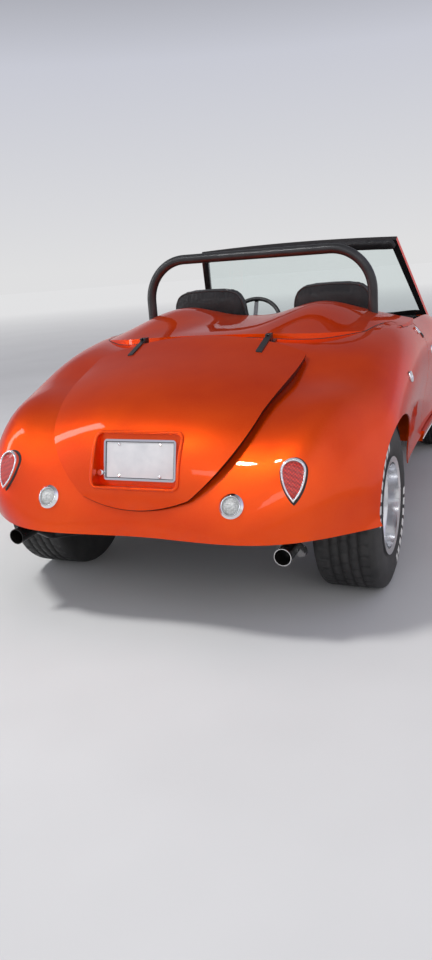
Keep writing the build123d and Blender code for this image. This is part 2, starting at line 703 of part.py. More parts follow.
def make_header_pad():
    """The padded roll along the rear face of the windscreen's header."""
    back = -SCREEN_THICK / 2 - SEAT_GAP - PAD_DEEP / 2
    high = SCREEN_HEIGHT - PAD_HIGH / 2 - 2
    half = SCREEN_TOP_HALF - 6
    path = ThreePointArc((-half, high - SCREEN_ARCH, back), (0, high, back), (half, high - SCREEN_ARCH, back))
    start = Plane(origin=path @ 0, x_dir=(0, 0, 1), z_dir=path % 0)
    return screen_plane() * sweep(start * RectangleRounded(PAD_DEEP, PAD_HIGH, PAD_ROUND), path=path)


def largest(solid):
    """The biggest solid of a shape, without the offcuts of its trimming."""
    return solid.solids().sort_by(SortBy.VOLUME)[-1]


def skin_point(full, x, z, direction):
    """Where a line along Y meets the body, and the outward normal there."""
    start = Vector(x, 3000 * direction, z)
    axis = Axis(start, (0, -direction, 0))
    hits = full.find_intersection_points(axis)
    hits = sorted(hits, key=lambda hit: -hit[0].Y * direction)
    point, normal = hits[0]
    if normal.Y * direction < 0:
        normal = normal * -1
    return point, normal


def on_skin(full, x, z, direction):
    """A plane on the skin: local Z outwards, local Y up along the surface."""
    point, normal = skin_point(full, x, z, direction)
    across = Vector(0, 0, 1).cross(normal).normalized()
    return Plane(origin=point, x_dir=across, z_dir=normal)


def lamp_outline(width, height):
    """An upside-down teardrop, round above and pointed below."""
    r = width / 2
    low = r - height
    top = ThreePointArc((-r, 0), (0, r), (r, 0))
    right = ThreePointArc((r, 0), (r * 0.72, low * 0.55), (0, low))
    left = ThreePointArc((0, low), (-r * 0.72, low * 0.55), (-r, 0))
    return Pos(0, height / 2 - r) * make_face([top, right, left])


def on_flank(full, y, z):
    """A plane on the left flank where a line along X meets the body, facing outwards."""
    hits = full.find_intersection_points(Axis((2000, y, z), (-1, 0, 0)))
    point, normal = max(hits, key=lambda hit: hit[0].X)
    if normal.X < 0:
        normal = normal * -1
    return Plane(origin=point, z_dir=normal)


def clear_of(solid, full, normal):
    """A fitting trimmed to stand just off the skin along its own direction."""
    return largest(solid - Pos(normal * SEAT_GAP) * full)


def make_tail_lamp(full):
    """The left tail lamp: a chrome rim and a domed lens."""
    plane = on_skin(full, TAIL_LAMP[0], TAIL_LAMP[1], 1)
    rim = extrude(lamp_outline(TAIL_W, TAIL_H), 36) - extrude(lamp_outline(TAIL_W - 16, TAIL_H - 20), 36)
    rim = plane * Pos(0, 0, -22) * rim
    base = extrude(lamp_outline(TAIL_W - 16.6, TAIL_H - 20.6), 38)
    dome = Pos(0, 0, -112) * Sphere(158)
    lens = plane * Pos(0, 0, -22) * (base & dome)
    return clear_of(rim, full, plane.z_dir), clear_of(lens, full, plane.z_dir)


def make_round_lamp(full, place, radius, height, direction):
    """A round lamp on the skin: a turned rim and a domed glass inside it."""
    plane = on_skin(full, place[0], place[1], direction)
    deep = 60
    rim = Cylinder(radius, deep + height, align=(Align.CENTER, Align.CENTER, Align.MIN))
    rim = chamfer(rim.edges().sort_by(Axis.Z)[-1], height * 0.6)
    rim -= Cylinder(radius * 0.82, deep + height + 1, align=(Align.CENTER, Align.CENTER, Align.MIN))
    glass = Cylinder(radius * 0.82 - SEAT_GAP, deep + height + 40, align=(Align.CENTER, Align.CENTER, Align.MIN))
    ball = radius * 1.9
    glass = glass & Pos(0, 0, deep + height * 0.95 + height * 0.4 - ball) * Sphere(ball)
    rim = plane * Pos(0, 0, -deep) * rim
    glass = plane * Pos(0, 0, -deep) * glass
    return clear_of(rim, full, plane.z_dir), clear_of(glass, full, plane.z_dir)


def make_grille(full):
    """The oval grille: a ring in the mouth with upright bars that follow the nose."""
    mouth = Plane(origin=(0, -1700, GRILLE_Z), x_dir=(1, 0, 0), z_dir=(0, -1, 0))
    wide, high = GRILLE_HALF - GRILLE_RING, GRILLE_HIGH - GRILLE_RING
    ring = extrude(mouth * Ellipse(GRILLE_HALF, GRILLE_HIGH), 700) - extrude(mouth * Ellipse(wide, high), 700)
    grille = ring & (full - Pos(0, 30, 0) * full)
    band = Pos(0, 8, 0) * full - Pos(0, 22, 0) * full
    for n in range(-GRILLE_BARS, GRILLE_BARS + 1):
        x = n * GRILLE_PITCH
        half = (high + 6) * math.sqrt(1 - (x / (wide + 6)) ** 2)
        grille += block(x - 4, x + 4, -2200, -1700, GRILLE_Z - half, GRILLE_Z + half) & band
    return grille


def make_pipes():
    """The left exhaust: pipe, silencer and tip, from the engine to the tail."""
    points = [(ENGINE_HALF + SEAT_GAP, -900, 520), (PIPE_X, -900, 520), (PIPE_X, -760, PIPE_Z),
              (PIPE_X, 1560, PIPE_Z), (EXHAUST_X, 1800, PIPE_Z + 12), (EXHAUST_X, 1905, EXHAUST_Z),
              (EXHAUST_X, EXHAUST_END_Y - 60, EXHAUST_Z)]
    pipe = tube(points, [30, 60, 60, 40, 40], PIPE_R)
    pipe += rod((PIPE_X, 0, PIPE_Z), (PIPE_X, 450, PIPE_Z), 48)
    tip = rod((EXHAUST_X, EXHAUST_END_Y - 110, EXHAUST_Z), (EXHAUST_X, EXHAUST_END_Y, EXHAUST_Z), EXHAUST_R)
    bore = rod((EXHAUST_X, EXHAUST_END_Y - 90, EXHAUST_Z), (EXHAUST_X, EXHAUST_END_Y + 1, EXHAUST_Z),
               EXHAUST_R - 3)
    return pipe + tip - bore


def make_chassis():
    """The ladder frame: two kicked-up rails joined by cross bars."""
    low = [(y, z - RAIL_H / 2) for y, z in RAIL_LINE]
    high = [(y, z + RAIL_H / 2) for y, z in reversed(RAIL_LINE)]
    side = Plane(origin=(RAIL_X - RAIL_W / 2, 0, 0), x_dir=(0, 1, 0), z_dir=(1, 0, 0))
    rail = extrude(side * make_face(Polyline(*low, *high, close=True)), RAIL_W)
    frame = rail + mirror(rail, Plane.YZ)
    reach = RAIL_X - RAIL_W / 2
    for y, low, high in CROSS_BARS:
        frame += block(-reach, reach, y - 30, y + 30, low, high)
    return frame


def make_rear_axle():
    """The live axle: tubes, differential, spring seats, brake drums and wheel spigots."""
    y, z = REAR_AXLE_Y, REAR_TYRE_R
    face = REAR_TRACK / 2 - HUB_IN
    axle = rod((-face, y, z), (face, y, z), 38)
    axle += Pos(0, y, z) * Sphere(125)
    axle += rod((0, y, z), (0, PINION_Y - 20, z), 55)
    for side in (-1, 1):
        axle += rod((side * (face - 70), y, z), (side * face, y, z), 140)
        axle += rod((side * face, y, z), (side * (face + 95), y, z), HUB_BORE_R - SEAT_GAP)
        axle += block(side * SPRING_X - 34, side * SPRING_X + 34, y - 60, y + 60, z - 46, z - 20)
    return axle


def make_leaf_springs():
    """A pair of leaf springs bowed under the axle, with the hangers that carry them."""
    springs = []
    for side in (-1, 1):
        x = side * SPRING_X
        top = REAR_TYRE_R - 46 - 2
        for n, reach in enumerate((500, 400, 300, 190)):
            z = top - 9 * n
            rise = (reach / 500) ** 2 * 105
            edge = ThreePointArc((REAR_AXLE_Y - reach, z + rise), (REAR_AXLE_Y, z), (REAR_AXLE_Y + reach, z + rise))
            lower = ThreePointArc((REAR_AXLE_Y + reach, z + rise - 9), (REAR_AXLE_Y, z - 9),
                                  (REAR_AXLE_Y - reach, z + rise - 9))
            ends = [Line(edge @ 1, lower @ 0), Line(lower @ 1, edge @ 0)]
            plane = Plane(origin=(x - 30, 0, 0), x_dir=(0, 1, 0), z_dir=(1, 0, 0))
            leaf = extrude(plane * make_face([edge, ends[0], lower, ends[1]]), 60)
            springs.append(leaf)
    left = springs[4] + springs[5] + springs[6] + springs[7]
    right = springs[0] + springs[1] + springs[2] + springs[3]
    for sign in (-1, 1):
        end_y = REAR_AXLE_Y + sign * 495
        for side in (-1, 1):
            x0, x1 = sorted((side * (RAIL_X + RAIL_W / 2), side * (SPRING_X + 30)))
            arm = block(x0 + SEAT_GAP, x1 - SEAT_GAP, end_y - 18, end_y + 18, 398, 440)
            if side > 0:
                left += arm
            else:
                right += arm
    return Compound(children=[left, right])


def make_front_suspension():
    """Cross beam under the rails, wishbones out to their eyes, and sprung dampers."""
    y = FRONT_AXLE_Y
    rail_low = RAIL_FRONT_Z - RAIL_H / 2 - SEAT_GAP
    rail_out = RAIL_X + RAIL_W / 2 + SEAT_GAP
    beam = block(-BEAM_X, BEAM_X, y - 60, y + 60, 245, 300)
    across = 100 * (KINGPIN_X - DAMPER_X) / (KINGPIN_X - BEAM_X)
    for side in (-1, 1):
        x0, x1 = sorted((side * (RAIL_X - 22), side * (RAIL_X + 22)))
        beam += block(x0, x1, y - 40, y + 40, 300, rail_low)
        x0, x1 = sorted((side * rail_out, side * (BEAM_X + 12)))
        beam += block(x0, x1, y - 120, y + 120, 245, 470)
        x0, x1 = sorted((side * rail_out, side * (DAMPER_X + 20)))
        beam += block(x0, x1, y - 30, y + 30, 460, 478)
        for height in (LOWER_JOINT_Z, UPPER_JOINT_Z):
            for off in (-100, 100):
                beam += rod((side * (KINGPIN_X - 8), y + off * 0.05, height), (side * BEAM_X, y + off, height), 11)
            beam += rod((side * KINGPIN_X, y, height - 12), (side * KINGPIN_X, y, height + 12), 23)
            beam -= rod((side * KINGPIN_X, y, height - 13), (side * KINGPIN_X, y, height + 13), PIN_R + SEAT_GAP)
        beam += rod((side * DAMPER_X, y - across, LOWER_JOINT_Z), (side * DAMPER_X, y + across, LOWER_JOINT_Z), 10)
        beam += rod((side * DAMPER_X, y, LOWER_JOINT_Z), (side * DAMPER_X, y, 470), 24)
        for turn in range(5):
            beam += Pos(side * DAMPER_X, y, 318 + turn * 27) * Torus(29, 8)
    return beam


def make_knuckle():
    """The left knuckle: upright on its two pins, spindle, brake disc and steering arm."""
    y, z = FRONT_AXLE_Y, FRONT_TYRE_R
    face = FRONT_TRACK / 2 - HUB_IN
    low, high = LOWER_JOINT_Z + 12 + SEAT_GAP, UPPER_JOINT_Z - 12 - SEAT_GAP
    upright = block(KINGPIN_X - 14, KINGPIN_X + 16, y - 32, y + 32, low, high)
    upright += rod((KINGPIN_X, y, LOWER_JOINT_Z - 11), (KINGPIN_X, y, UPPER_JOINT_Z + 11), PIN_R)
    upright += rod((KINGPIN_X, y, z), (face, y, z), SPINDLE_R)
    upright += rod((face - 14, y, z), (face, y, z), 125)
    upright += rod((face, y, z), (face + 95, y, z), HUB_BORE_R - SEAT_GAP)
    upright += block(KINGPIN_X - 14, KINGPIN_X + 2, y, y + 130, 300, 320)
    return upright


def rim_profile(half, seat_r, lip_r):
    """Half-section of the wheel's barrel with its lips and drop centre."""
    return [(-half, lip_r), (-half + 9, lip_r), (-half + 11, seat_r), (-half + 34, seat_r - 3),
            (-half + 48, seat_r - 22), (half - 62, seat_r - 22), (half - 48, seat_r - 3),
            (half - 11, seat_r), (half - 9, lip_r), (half, lip_r), (half, lip_r - 5),
            (half - 4, seat_r - 8), (half - 50, seat_r - 13), (half - 62, seat_r - 30),
            (-half + 48, seat_r - 30), (-half + 34, seat_r - 12), (-half + 3, seat_r - 9),
            (-half, lip_r - 5)]


def make_rim(half):
    """A five-spoke wheel, axis along X through the origin, its face towards +X."""
    barrel = ring_x(rim_profile(half, RIM_SEAT_R, RIM_LIP_R), (0, 0, 0))
    inner = RIM_SEAT_R - 24
    disc = ring_x([(-HUB_IN, HUB_BORE_R), (-HUB_IN, 80), (10, 105), (22, inner), (44, inner),
                   (34, 95), (36, 70), (62, 62), (68, 0), (64, 0), (61, HUB_BORE_R)], (0, 0, 0))
    plane = Plane(origin=(-60, 0, 0), x_dir=(0, 1, 0), z_dir=(1, 0, 0))
    window = make_face(Polyline((-22, 84), (22, 84), (56, 152), (-56, 152), close=True))
    window = fillet(window.vertices(), 10)
    for turn in range(5):
        disc -= extrude(plane * Rot(0, 0, 72 * turn + 36) * window, 200)
    return barrel + disc


def make_tyre(half, radius, rim_half):
    """A plain tyre with round shoulders, standing on the wheel's bead seats."""
    bead, seat = rim_half - 11.5, RIM_SEAT_R + SEAT_GAP
    flank = (seat + radius) / 2 + 5
    side = ThreePointArc((bead, RIM_LIP_R + 3), (half, flank), (half - 14, radius - 14))
    shoulder = ThreePointArc((half - 14, radius - 14), (half - 26, radius - 4), (half - 44, radius - 1.5))
    crown = ThreePointArc((half - 44, radius - 1.5), (0, radius), (-half + 44, radius - 1.5))
    shoulder_b = ThreePointArc((-half + 44, radius - 1.5), (-half + 26, radius - 4), (-half + 14, radius - 14))
    side_b = ThreePointArc((-half + 14, radius - 14), (-half, flank), (-bead, RIM_LIP_R + 3))
    base = Polyline((-bead, RIM_LIP_R + 3), (-bead, seat), (bead, seat), (bead, RIM_LIP_R + 3))
    return revolve(make_face([side, shoulder, crown, shoulder_b, side_b, base]), Axis.X)


def place_wheels(save_node):
    """Rims and tyres at the four corners."""
    corners = [
        # name, side, axle y, tyre radius, tyre half width, track, rim half width
        ("rear_left", 1, REAR_AXLE_Y, REAR_TYRE_R, REAR_TYRE_W / 2, REAR_TRACK, 132.0),
        ("rear_right", -1, REAR_AXLE_Y, REAR_TYRE_R, REAR_TYRE_W / 2, REAR_TRACK, 132.0),
        ("front_left", 1, FRONT_AXLE_Y, FRONT_TYRE_R, FRONT_TYRE_W / 2, FRONT_TRACK, 95.0),
        ("front_right", -1, FRONT_AXLE_Y, FRONT_TYRE_R, FRONT_TYRE_W / 2, FRONT_TRACK, 95.0),
    ]
    for name, side, y, radius, half, track, rim_half in corners:
        spot = Pos(side * track / 2, y, radius)
        rim = make_rim(rim_half)
        if side < 0:
            rim = mirror(rim, Plane.YZ)
        save_node("rim_" + name, spot * rim)
        save_node("tyre_" + name, spot * make_tyre(half, radius, rim_half))


def make_engine():
    """The engine as one plain block with its sump and air cleaner."""
    crankcase = block(-ENGINE_HALF, ENGINE_HALF, ENGINE_FRONT_Y, ENGINE_REAR_Y, 420, 700)
    crankcase = chamfer(crankcase.edges().filter_by(Axis.Y).group_by(Axis.Z)[-1], 90)
    sump = block(-130, 130, ENGINE_FRONT_Y + 60, ENGINE_REAR_Y - 30, 290, 420)
    cleaner = Pos(0, -900, 700) * Cylinder(150, 90, align=(Align.CENTER, Align.CENTER, Align.MIN))
    return crankcase + sump + cleaner


def make_gearbox():
    """The gearbox and the propeller shaft, running back to the axle's pinion."""
    case = loft([Plane(origin=(0, ENGINE_REAR_Y + SEAT_GAP, 410), x_dir=(1, 0, 0), z_dir=(0, 1, 0)) * Circle(92),
                 Plane(origin=(0, -420, 400), x_dir=(1, 0, 0), z_dir=(0, 1, 0)) * Circle(80),
                 Plane(origin=(0, -160, 395), x_dir=(1, 0, 0), z_dir=(0, 1, 0)) * Circle(60)], ruled=True)
    shaft = rod((0, -170, 395), (0, PINION_Y - 20 - 4, REAR_TYRE_R), 36)
    return case + shaft


def make_radiator():
    core = block(-260, 260, -1640, -1585, 420, 745)
    tanks = block(-270, 270, -1650, -1575, 745, 775) + block(-270, 270, -1650, -1575, 395, 425)
    reach = RAIL_X - RAIL_W / 2 - SEAT_GAP
    legs = block(-reach, -270, -1625, -1600, 400, 430) + block(270, reach, -1625, -1600, 400, 430)
    return core + tanks + legs


def make_fuel_tank():
    tank = block(-TANK_HALF, TANK_HALF, 1600, 1860, 405, BOOT_FLOOR_Z - SEAT_GAP)
    return fillet(tank.edges().filter_by(Axis.X), 25)


def make_boot_floor():
    floor = block(-BOOT_HALF, BOOT_HALF, BULKHEAD_Y + PANEL + SEAT_GAP, 1985, BOOT_FLOOR_Z, BOOT_FLOOR_Z + PANEL)
    return floor


def make_wheel_housings():
    """Round inner arches over the rear wheels, joined to the boot floor's edges."""
    y, z = REAR_AXLE_Y, REAR_TYRE_R
    x0, x1 = BOOT_HALF + SEAT_GAP, 835.0
    radius = REAR_ARCH_R + 8
    outer = rod((x0, y, z), (x1, y, z), radius + PANEL) - rod((x0 + PANEL, y, z), (x1 + 1, y, z), radius)
    return outer & block(x0, x1, 0, 3000, BODY_BASE + 20, 1200)


def make_hinges(full):
    """Boot lid hinges: straps on the lid, leaves and pins on the body."""
    y, z = LID_HINGE_Y, LID_HINGE_Z
    straps, leaves = [], []
    lid = lid_solid(0)
    for side in (-1, 1):
        x = side * HINGE_X
        zone = block(x - 13, x + 13, y + 16, 1404, 900, 1200)
        strap = (zone & raised(lid, SEAT_GAP + 6)) - raised(lid, SEAT_GAP)
        barrels = rod((x - 13, y, z), (x - 5, y, z), 9) + rod((x + 5, y, z), (x + 13, y, z), 9)
        barrels += block(x - 13, x - 5, y, y + 22, z - 7, z + 7) + block(x + 5, x + 13, y, y + 22, z - 7, z + 7)
        barrels -= rod((x - 14, y, z), (x + 14, y, z), 4.3)
        barrels -= raised(lid, SEAT_GAP)
        straps.append(largest(strap + barrels))
        zone = block(x - 13, x + 13, 1186, y - 16, 900, 1200)
        leaf = (zone & raised(full, SEAT_GAP + 6)) - raised(full, SEAT_GAP)
        leaf += rod((x - 4.7, y, z), (x + 4.7, y, z), 9) + block(x - 4.7, x + 4.7, y - 34, y, z - 60, z + 7)
        leaf += rod((x - 13, y, z), (x + 13, y, z), 4)
        leaf -= raised(full, SEAT_GAP)
        leaves.append(largest(leaf))
    return Compound(children=straps), Compound(children=leaves)


def make_plate():
    """The blank number plate in its bright frame, standing on the pocket's floor."""
    plane = pocket_plane()
    frame = extrude(plane * Pos(0, 0, SEAT_GAP) * RectangleRounded(PLATE_W, PLATE_H, 14), PLATE_DEEP)
    recess = RectangleRounded(PLATE_W - 2 * PLATE_EDGE, PLATE_H - 2 * PLATE_EDGE, 8)
    return frame - extrude(plane * Pos(0, 0, PLATE_DEEP - 4) * recess, PLATE_DEEP)


def make_boot_lock():
    """The round push button of the boot lock, beside the plate."""
    base = PLATE_DEEP + 3
    stem = Cylinder(LOCK_STEM_R, base, align=(Align.CENTER, Align.CENTER, Align.MIN))
    head = Pos(0, 0, base) * Cylinder(LOCK_R, 8, align=(Align.CENTER, Align.CENTER, Align.MIN))
    head = fillet(head.edges().group_by(Axis.Z)[-1], 3)
    return pocket_plane() * Pos(LOCK_AT[0], LOCK_AT[1], SEAT_GAP) * (stem + head)


def make_controls():
    """Three hanging pedals and the gear lever on its base."""
    wall = FIREWALL_Y + PANEL + SEAT_GAP
    pieces = []
    for x in PEDAL_XS:
        pedal = block(x - 14, x + 14, wall, wall + 8, 620, 690)
        pedal += rod((x, wall + 8, 660), (x, -566, 480), 6)
        pieces.append(pedal + block(x - 27, x + 27, -572, -560, 440, 500))
    base = TUNNEL_TOP + SEAT_GAP
    lever = loft([Pos(0, LEVER_Y, base) * Rectangle(90, 130), Pos(0, LEVER_Y, base + 60) * Circle(16)])
    lever += rod((0, LEVER_Y, base + 50), (0, LEVER_Y - 20, base + 160), 6)
    pieces.append(lever + Pos(0, LEVER_Y - 21, base + 170) * Sphere(22))
    return Compound(children=pieces)


def make_flank_caps(full):
    """The left side's round caps, domed and with a dished middle."""
    deep = 30
    caps = []
    for y, z, radius in FLANK_CAPS:
        cap = Cylinder(radius, deep + CAP_HIGH, align=(Align.CENTER, Align.CENTER, Align.MIN))
        cap = fillet(cap.edges().group_by(Axis.Z)[-1], CAP_HIGH / 2)
        dish = Pos(0, 0, deep + CAP_HIGH - 3) * Cone(radius * 0.35, radius * 0.6, 3.1,
                                                     align=(Align.CENTER, Align.CENTER, Align.MIN))
        plane = on_flank(full, y, z)
        caps.append(clear_of(plane * Pos(0, 0, -deep) * (cap - dish), full, plane.z_dir))
    return caps


def save_lamps(full):
    """All lamps: the chrome rims as one node, the clear lenses as another, the red ones alone."""
    rim, lens = make_tail_lamp(full)
    rims, glasses = [rim], []
    round_lamps = [
        # place, radius, height, direction along Y
        (REVERSING_LAMP, REVERSING_LAMP_R, 14, 1),
        (HEADLAMP, HEADLAMP_R, 22, -1),
        (PARKING_LAMP, PARKING_LAMP_R, 10, -1),
    ]
    for place, radius, height, direction in round_lamps:
        rim, glass = make_round_lamp(full, place, radius, height, direction)
        rims.append(rim)
        glasses.append(glass)
    save("tail_lamp_lenses", both_sides(lens))
    save("lamp_rims", Compound(children=rims + [mirror(rim, Plane.YZ) for rim in rims]))
    save("clear_lenses", Compound(children=glasses + [mirror(glass, Plane.YZ) for glass in glasses]))


def main():
    os.makedirs("parts", exist_ok=True)
    skin, full, lining = make_body()
    save("rear_body", make_rear_body(skin))
    save("front_body", make_front_body(skin))
    save("bonnet", make_bonnet(skin, lining))
    save("boot_lid", largest(make_lid(full)))
    save("headrest_fairing", largest(make_fairing(full)))
    door = make_door(full)
    save("door_left", door)
    save("door_right", mirror(door, Plane.YZ))
    save("rockers", both_sides(make_rocker()))
    hinges = make_door_hinges(full)
    mirrored = [mirror(leaf, Plane.YZ) for leaf in hinges]
    save("panel_hinges", Compound(children=hinges + mirrored + make_bonnet_hinges(full)))
    save("cockpit_tub", make_floor())
    rear, front = make_jambs(lining)
    save("door_jambs", Compound(children=[rear, mirror(rear, Plane.YZ), front, mirror(front, Plane.YZ)]))
    save("dashboard", make_dashboard(lining))
    wheel, column = make_steering()
    save("steering_wheel", wheel)
    save("steering_column", column)
    save("seat_left", make_seat(1))
    save("seat_right", make_seat(-1))
    save("seat_rails", make_seat_rails())
    save("roll_bar", make_roll_bar())
    frame, glass = make_windscreen(full)
    save("windscreen_frame", frame)
    save("windscreen_glass", glass)
    save("header_pad", make_header_pad())
    save_lamps(full)
    save("grille", largest(make_grille(full)))
    straps, leaves = make_hinges(full)
    save("hinge_straps", straps)
    save("hinge_leaves", leaves)
    save("number_plate", make_plate())
    save("boot_lock", make_boot_lock())
    caps = make_flank_caps(full)
    save("flank_caps", Compound(children=caps + [mirror(cap, Plane.YZ) for cap in caps]))
    save("controls", make_controls())
    pipe = make_pipes()
    save("exhaust_left", pipe)
    save("exhaust_right", mirror(pipe, Plane.YZ))
    save("chassis_frame", make_chassis())
    save("rear_axle", make_rear_axle())
    save("leaf_springs", make_leaf_springs())
    save("front_suspension", make_front_suspension())
    knuckle = make_knuckle()
    save("knuckle_left", knuckle)
    save("knuckle_right", mirror(knuckle, Plane.YZ))
    place_wheels(save)
    save("engine_block", make_engine())
    save("gearbox", make_gearbox())
    save("radiator", make_radiator())
    save("fuel_tank", make_fuel_tank())
    save("boot_floor", make_boot_floor())
    save("wheel_housings", both_sides(make_wheel_housings()))


if __name__ == "__main__":
    main()
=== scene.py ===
"""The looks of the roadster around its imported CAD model: paint, chrome, rubber, vinyl and glass,
and the detailed pieces that stand for plain solids."""

import json
from math import copysign, cos, exp, pi, radians, sin, sqrt

import bpy
from mathutils import Matrix, Vector


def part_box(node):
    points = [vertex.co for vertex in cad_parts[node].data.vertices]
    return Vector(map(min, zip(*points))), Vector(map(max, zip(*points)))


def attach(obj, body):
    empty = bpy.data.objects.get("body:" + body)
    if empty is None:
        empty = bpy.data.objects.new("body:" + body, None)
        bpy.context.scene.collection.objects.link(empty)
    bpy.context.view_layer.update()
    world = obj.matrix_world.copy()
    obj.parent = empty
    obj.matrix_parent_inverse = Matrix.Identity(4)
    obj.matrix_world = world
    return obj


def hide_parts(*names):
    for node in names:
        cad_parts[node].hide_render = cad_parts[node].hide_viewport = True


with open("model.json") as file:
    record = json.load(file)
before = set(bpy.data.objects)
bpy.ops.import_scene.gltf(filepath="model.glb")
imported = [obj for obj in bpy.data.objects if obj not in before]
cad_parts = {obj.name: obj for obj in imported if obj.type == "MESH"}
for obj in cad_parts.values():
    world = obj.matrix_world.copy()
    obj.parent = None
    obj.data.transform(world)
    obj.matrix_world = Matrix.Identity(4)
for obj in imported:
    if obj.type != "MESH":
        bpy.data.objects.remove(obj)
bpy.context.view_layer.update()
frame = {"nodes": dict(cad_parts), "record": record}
NODES = frame["nodes"]
SIDES = ((1, "left"), (-1, "right"))

# Camera: where the photograph was taken from, and its lens
CAMERA_AT = (-1.426, 4.555, 1.398)
CAMERA_FORWARD = (0.3812311, -0.8843271, -0.2694966)
CAMERA_UP = (0.0369995, -0.2766832, 0.9602486)
FOCAL_PIXELS = 784.3
PHOTO_HEIGHT = 960
SENSOR = 36
CLIP_END = 200


class Nodes:
    """A node tree, and short ways to add to it."""

    def __init__(self, tree):
        self.tree = tree

    def add(self, kind, inputs, **settings):
        """A new node of that kind. An input that is a socket is linked."""
        node = self.tree.nodes.new("ShaderNode" + kind)
        for key, value in settings.items():
            setattr(node, key, value)
        for key, value in inputs.items():
            if isinstance(value, bpy.types.NodeSocket):
                self.tree.links.new(value, node.inputs[key])
            else:
                node.inputs[key].default_value = value
        return node

    def math(self, operation, *values):
        """A number worked out from one or two numbers."""
        return self.add("Math", dict(enumerate(values)), operation=operation).outputs[0]

    def vector(self, operation, *values, output=0):
        """A vector worked out from one or two vectors, or the number at the output named Value."""
        return self.add("VectorMath", dict(enumerate(values)), operation=operation).outputs[output]

    def split(self, vector):
        """The X, Y and Z of a vector."""
        return self.add("SeparateXYZ", {"Vector": vector}).outputs

    def mix(self, factor, first, second, blend="MIX"):
        """A blend of two colours, the first alone where the factor is 0."""
        inputs = {"Factor": factor, 6: first, 7: second}
        return self.add("Mix", inputs, data_type="RGBA", blend_type=blend).outputs[2]

    def step(self, value, low, high, start=0.3, end=0.7, **settings):
        """A number from low to high as value goes from start to end."""
        inputs = {"Value": value, "From Min": start, "From Max": end, "To Min": low, "To Max": high}
        return self.add("MapRange", inputs, **settings).outputs["Result"]


class Finish(Nodes):
    """One procedural material: a principled surface and the nodes that feed it."""

    def __init__(self, name, **surface):
        self.material = bpy.data.materials.new(name)
        self.material.use_nodes = True
        super().__init__(self.material.node_tree)
        self.surface = self.tree.nodes["Principled BSDF"]
        for key, value in surface.items():
            self.surface.inputs[key.replace("_", " ")].default_value = value
        self.place = self.add("TexCoord", {}).outputs["Object"]

    def made(self, **fed):
        """The material, once the sockets given by name feed its surface."""
        for key, socket in fed.items():
            self.tree.links.new(socket, self.surface.inputs[key.replace("_", " ")])
        return self.material

    def noise(self, scale, detail=3.0, **more):
        """A soft noise between 0 and 1."""
        inputs = {"Vector": self.place, "Scale": scale, "Detail": detail, **more}
        return self.add("TexNoise", inputs).outputs["Fac"]

    def cells(self, scale, place=None, output="Distance", feature="F1", **more):
        """A cell pattern, by default the distance from each cell's middle."""
        inputs = {"Vector": place or self.place, "Scale": scale, **more}
        return self.add("TexVoronoi", inputs, feature=feature).outputs[output]

    def ramp(self, value, low, high, start=0.3, end=0.7):
        """A colour from low to high as value goes from start to end."""
        return self.mix(self.step(value, 0.0, 1.0, start, end), (*low, 1), (*high, 1))

    def bump(self, height, strength, distance, **more):
        """The surface's direction, bent by a height."""
        inputs = {"Height": height, "Strength": strength, "Distance": distance, **more}
        return self.add("Bump", inputs).outputs["Normal"]


PAINT_METAL = 0.80


def paint(name, inside=None, dark=(0.0, 0.0, 0.0)):
    """Deep metallic orange: fine flakes under a mirror-gloss clear coat, and a faint cloudiness.
    Where the mask that inside makes from the finish is 1, the colour is dark instead: black trim on
    the doors' and the windscreen's inner faces, and painted shade on the boot lid's side wall."""
    f = Finish(name, Metallic=PAINT_METAL, Coat_Weight=0.6, Coat_Roughness=0.015, Coat_IOR=1.45,
               Specular_IOR_Level=0.25, Specular_Tint=(0.42, 0.03, 0.01, 1))
    flake = f.add("SeparateColor", {"Color": f.cells(1100.0, output="Color")}).outputs["Red"]
    tint = f.ramp(f.noise(2.6), (0.80, 0.052, 0.001), (0.95, 0.085, 0.002), 0.32, 0.68)
    colour = f.mix(f.step(flake, 0.0, 0.30, 0.6, 1.0), tint, (1.0, 0.20, 0.02, 1))
    rough = f.step(flake, 0.34, 0.46, 0.0, 1.0)
    if inside is None:
        return f.made(Base_Color=colour, Roughness=rough)
    mask = inside(f)
    colour = f.mix(mask, colour, (*dark, 1))
    return f.made(Base_Color=colour, Roughness=rough, Metallic=f.step(mask, PAINT_METAL, 0.0))


# Boot lid: the direction its outline is drawn along, and how square to it the side wall looks.
# That wall is painted near black as painted shade.
# The plate pocket keeps its paint: half its width, and its foot
LID_DIRECTION = (0.0, sin(radians(45)), cos(radians(45)))
WALL_SLOPE = 0.10
POCKET_HALF, POCKET_FOOT = 0.20, 0.575
# A face looks outwards when its normal's X times its place's X is past this
SIDEWAYS = 0.30


def lid_wall_painted_shade(f):
    """1 on the lid's upright side wall, which gets painted shade, 0 on its face and in the plate pocket."""
    normal = f.add("TexCoord", {}).outputs["Normal"]
    along = f.vector("DOT_PRODUCT", normal, LID_DIRECTION, output="Value")
    upright = f.math("LESS_THAN", f.math("ABSOLUTE", along), WALL_SLOPE)
    place = f.split(f.place)
    wide = f.math("GREATER_THAN", f.math("ABSOLUTE", place["X"]), POCKET_HALF)
    low = f.math("LESS_THAN", place["Z"], POCKET_FOOT)
    return f.math("MULTIPLY", upright, f.math("MAXIMUM", wide, low))


def outward(f):
    """How much a face looks away from the car's middle plane, more so the further from it."""
    normal = f.add("TexCoord", {}).outputs["Normal"]
    return f.math("MULTIPLY", f.split(normal)["X"], f.split(f.place)["X"])


def screen_inside(f):
    """0 on the outward faces of the windscreen's pillars, 1 elsewhere."""
    return f.math("LESS_THAN", outward(f), SIDEWAYS)


def door_inside(f):
    """1 on a door's inner face, 0 elsewhere."""
    return f.math("LESS_THAN", outward(f), -SIDEWAYS)


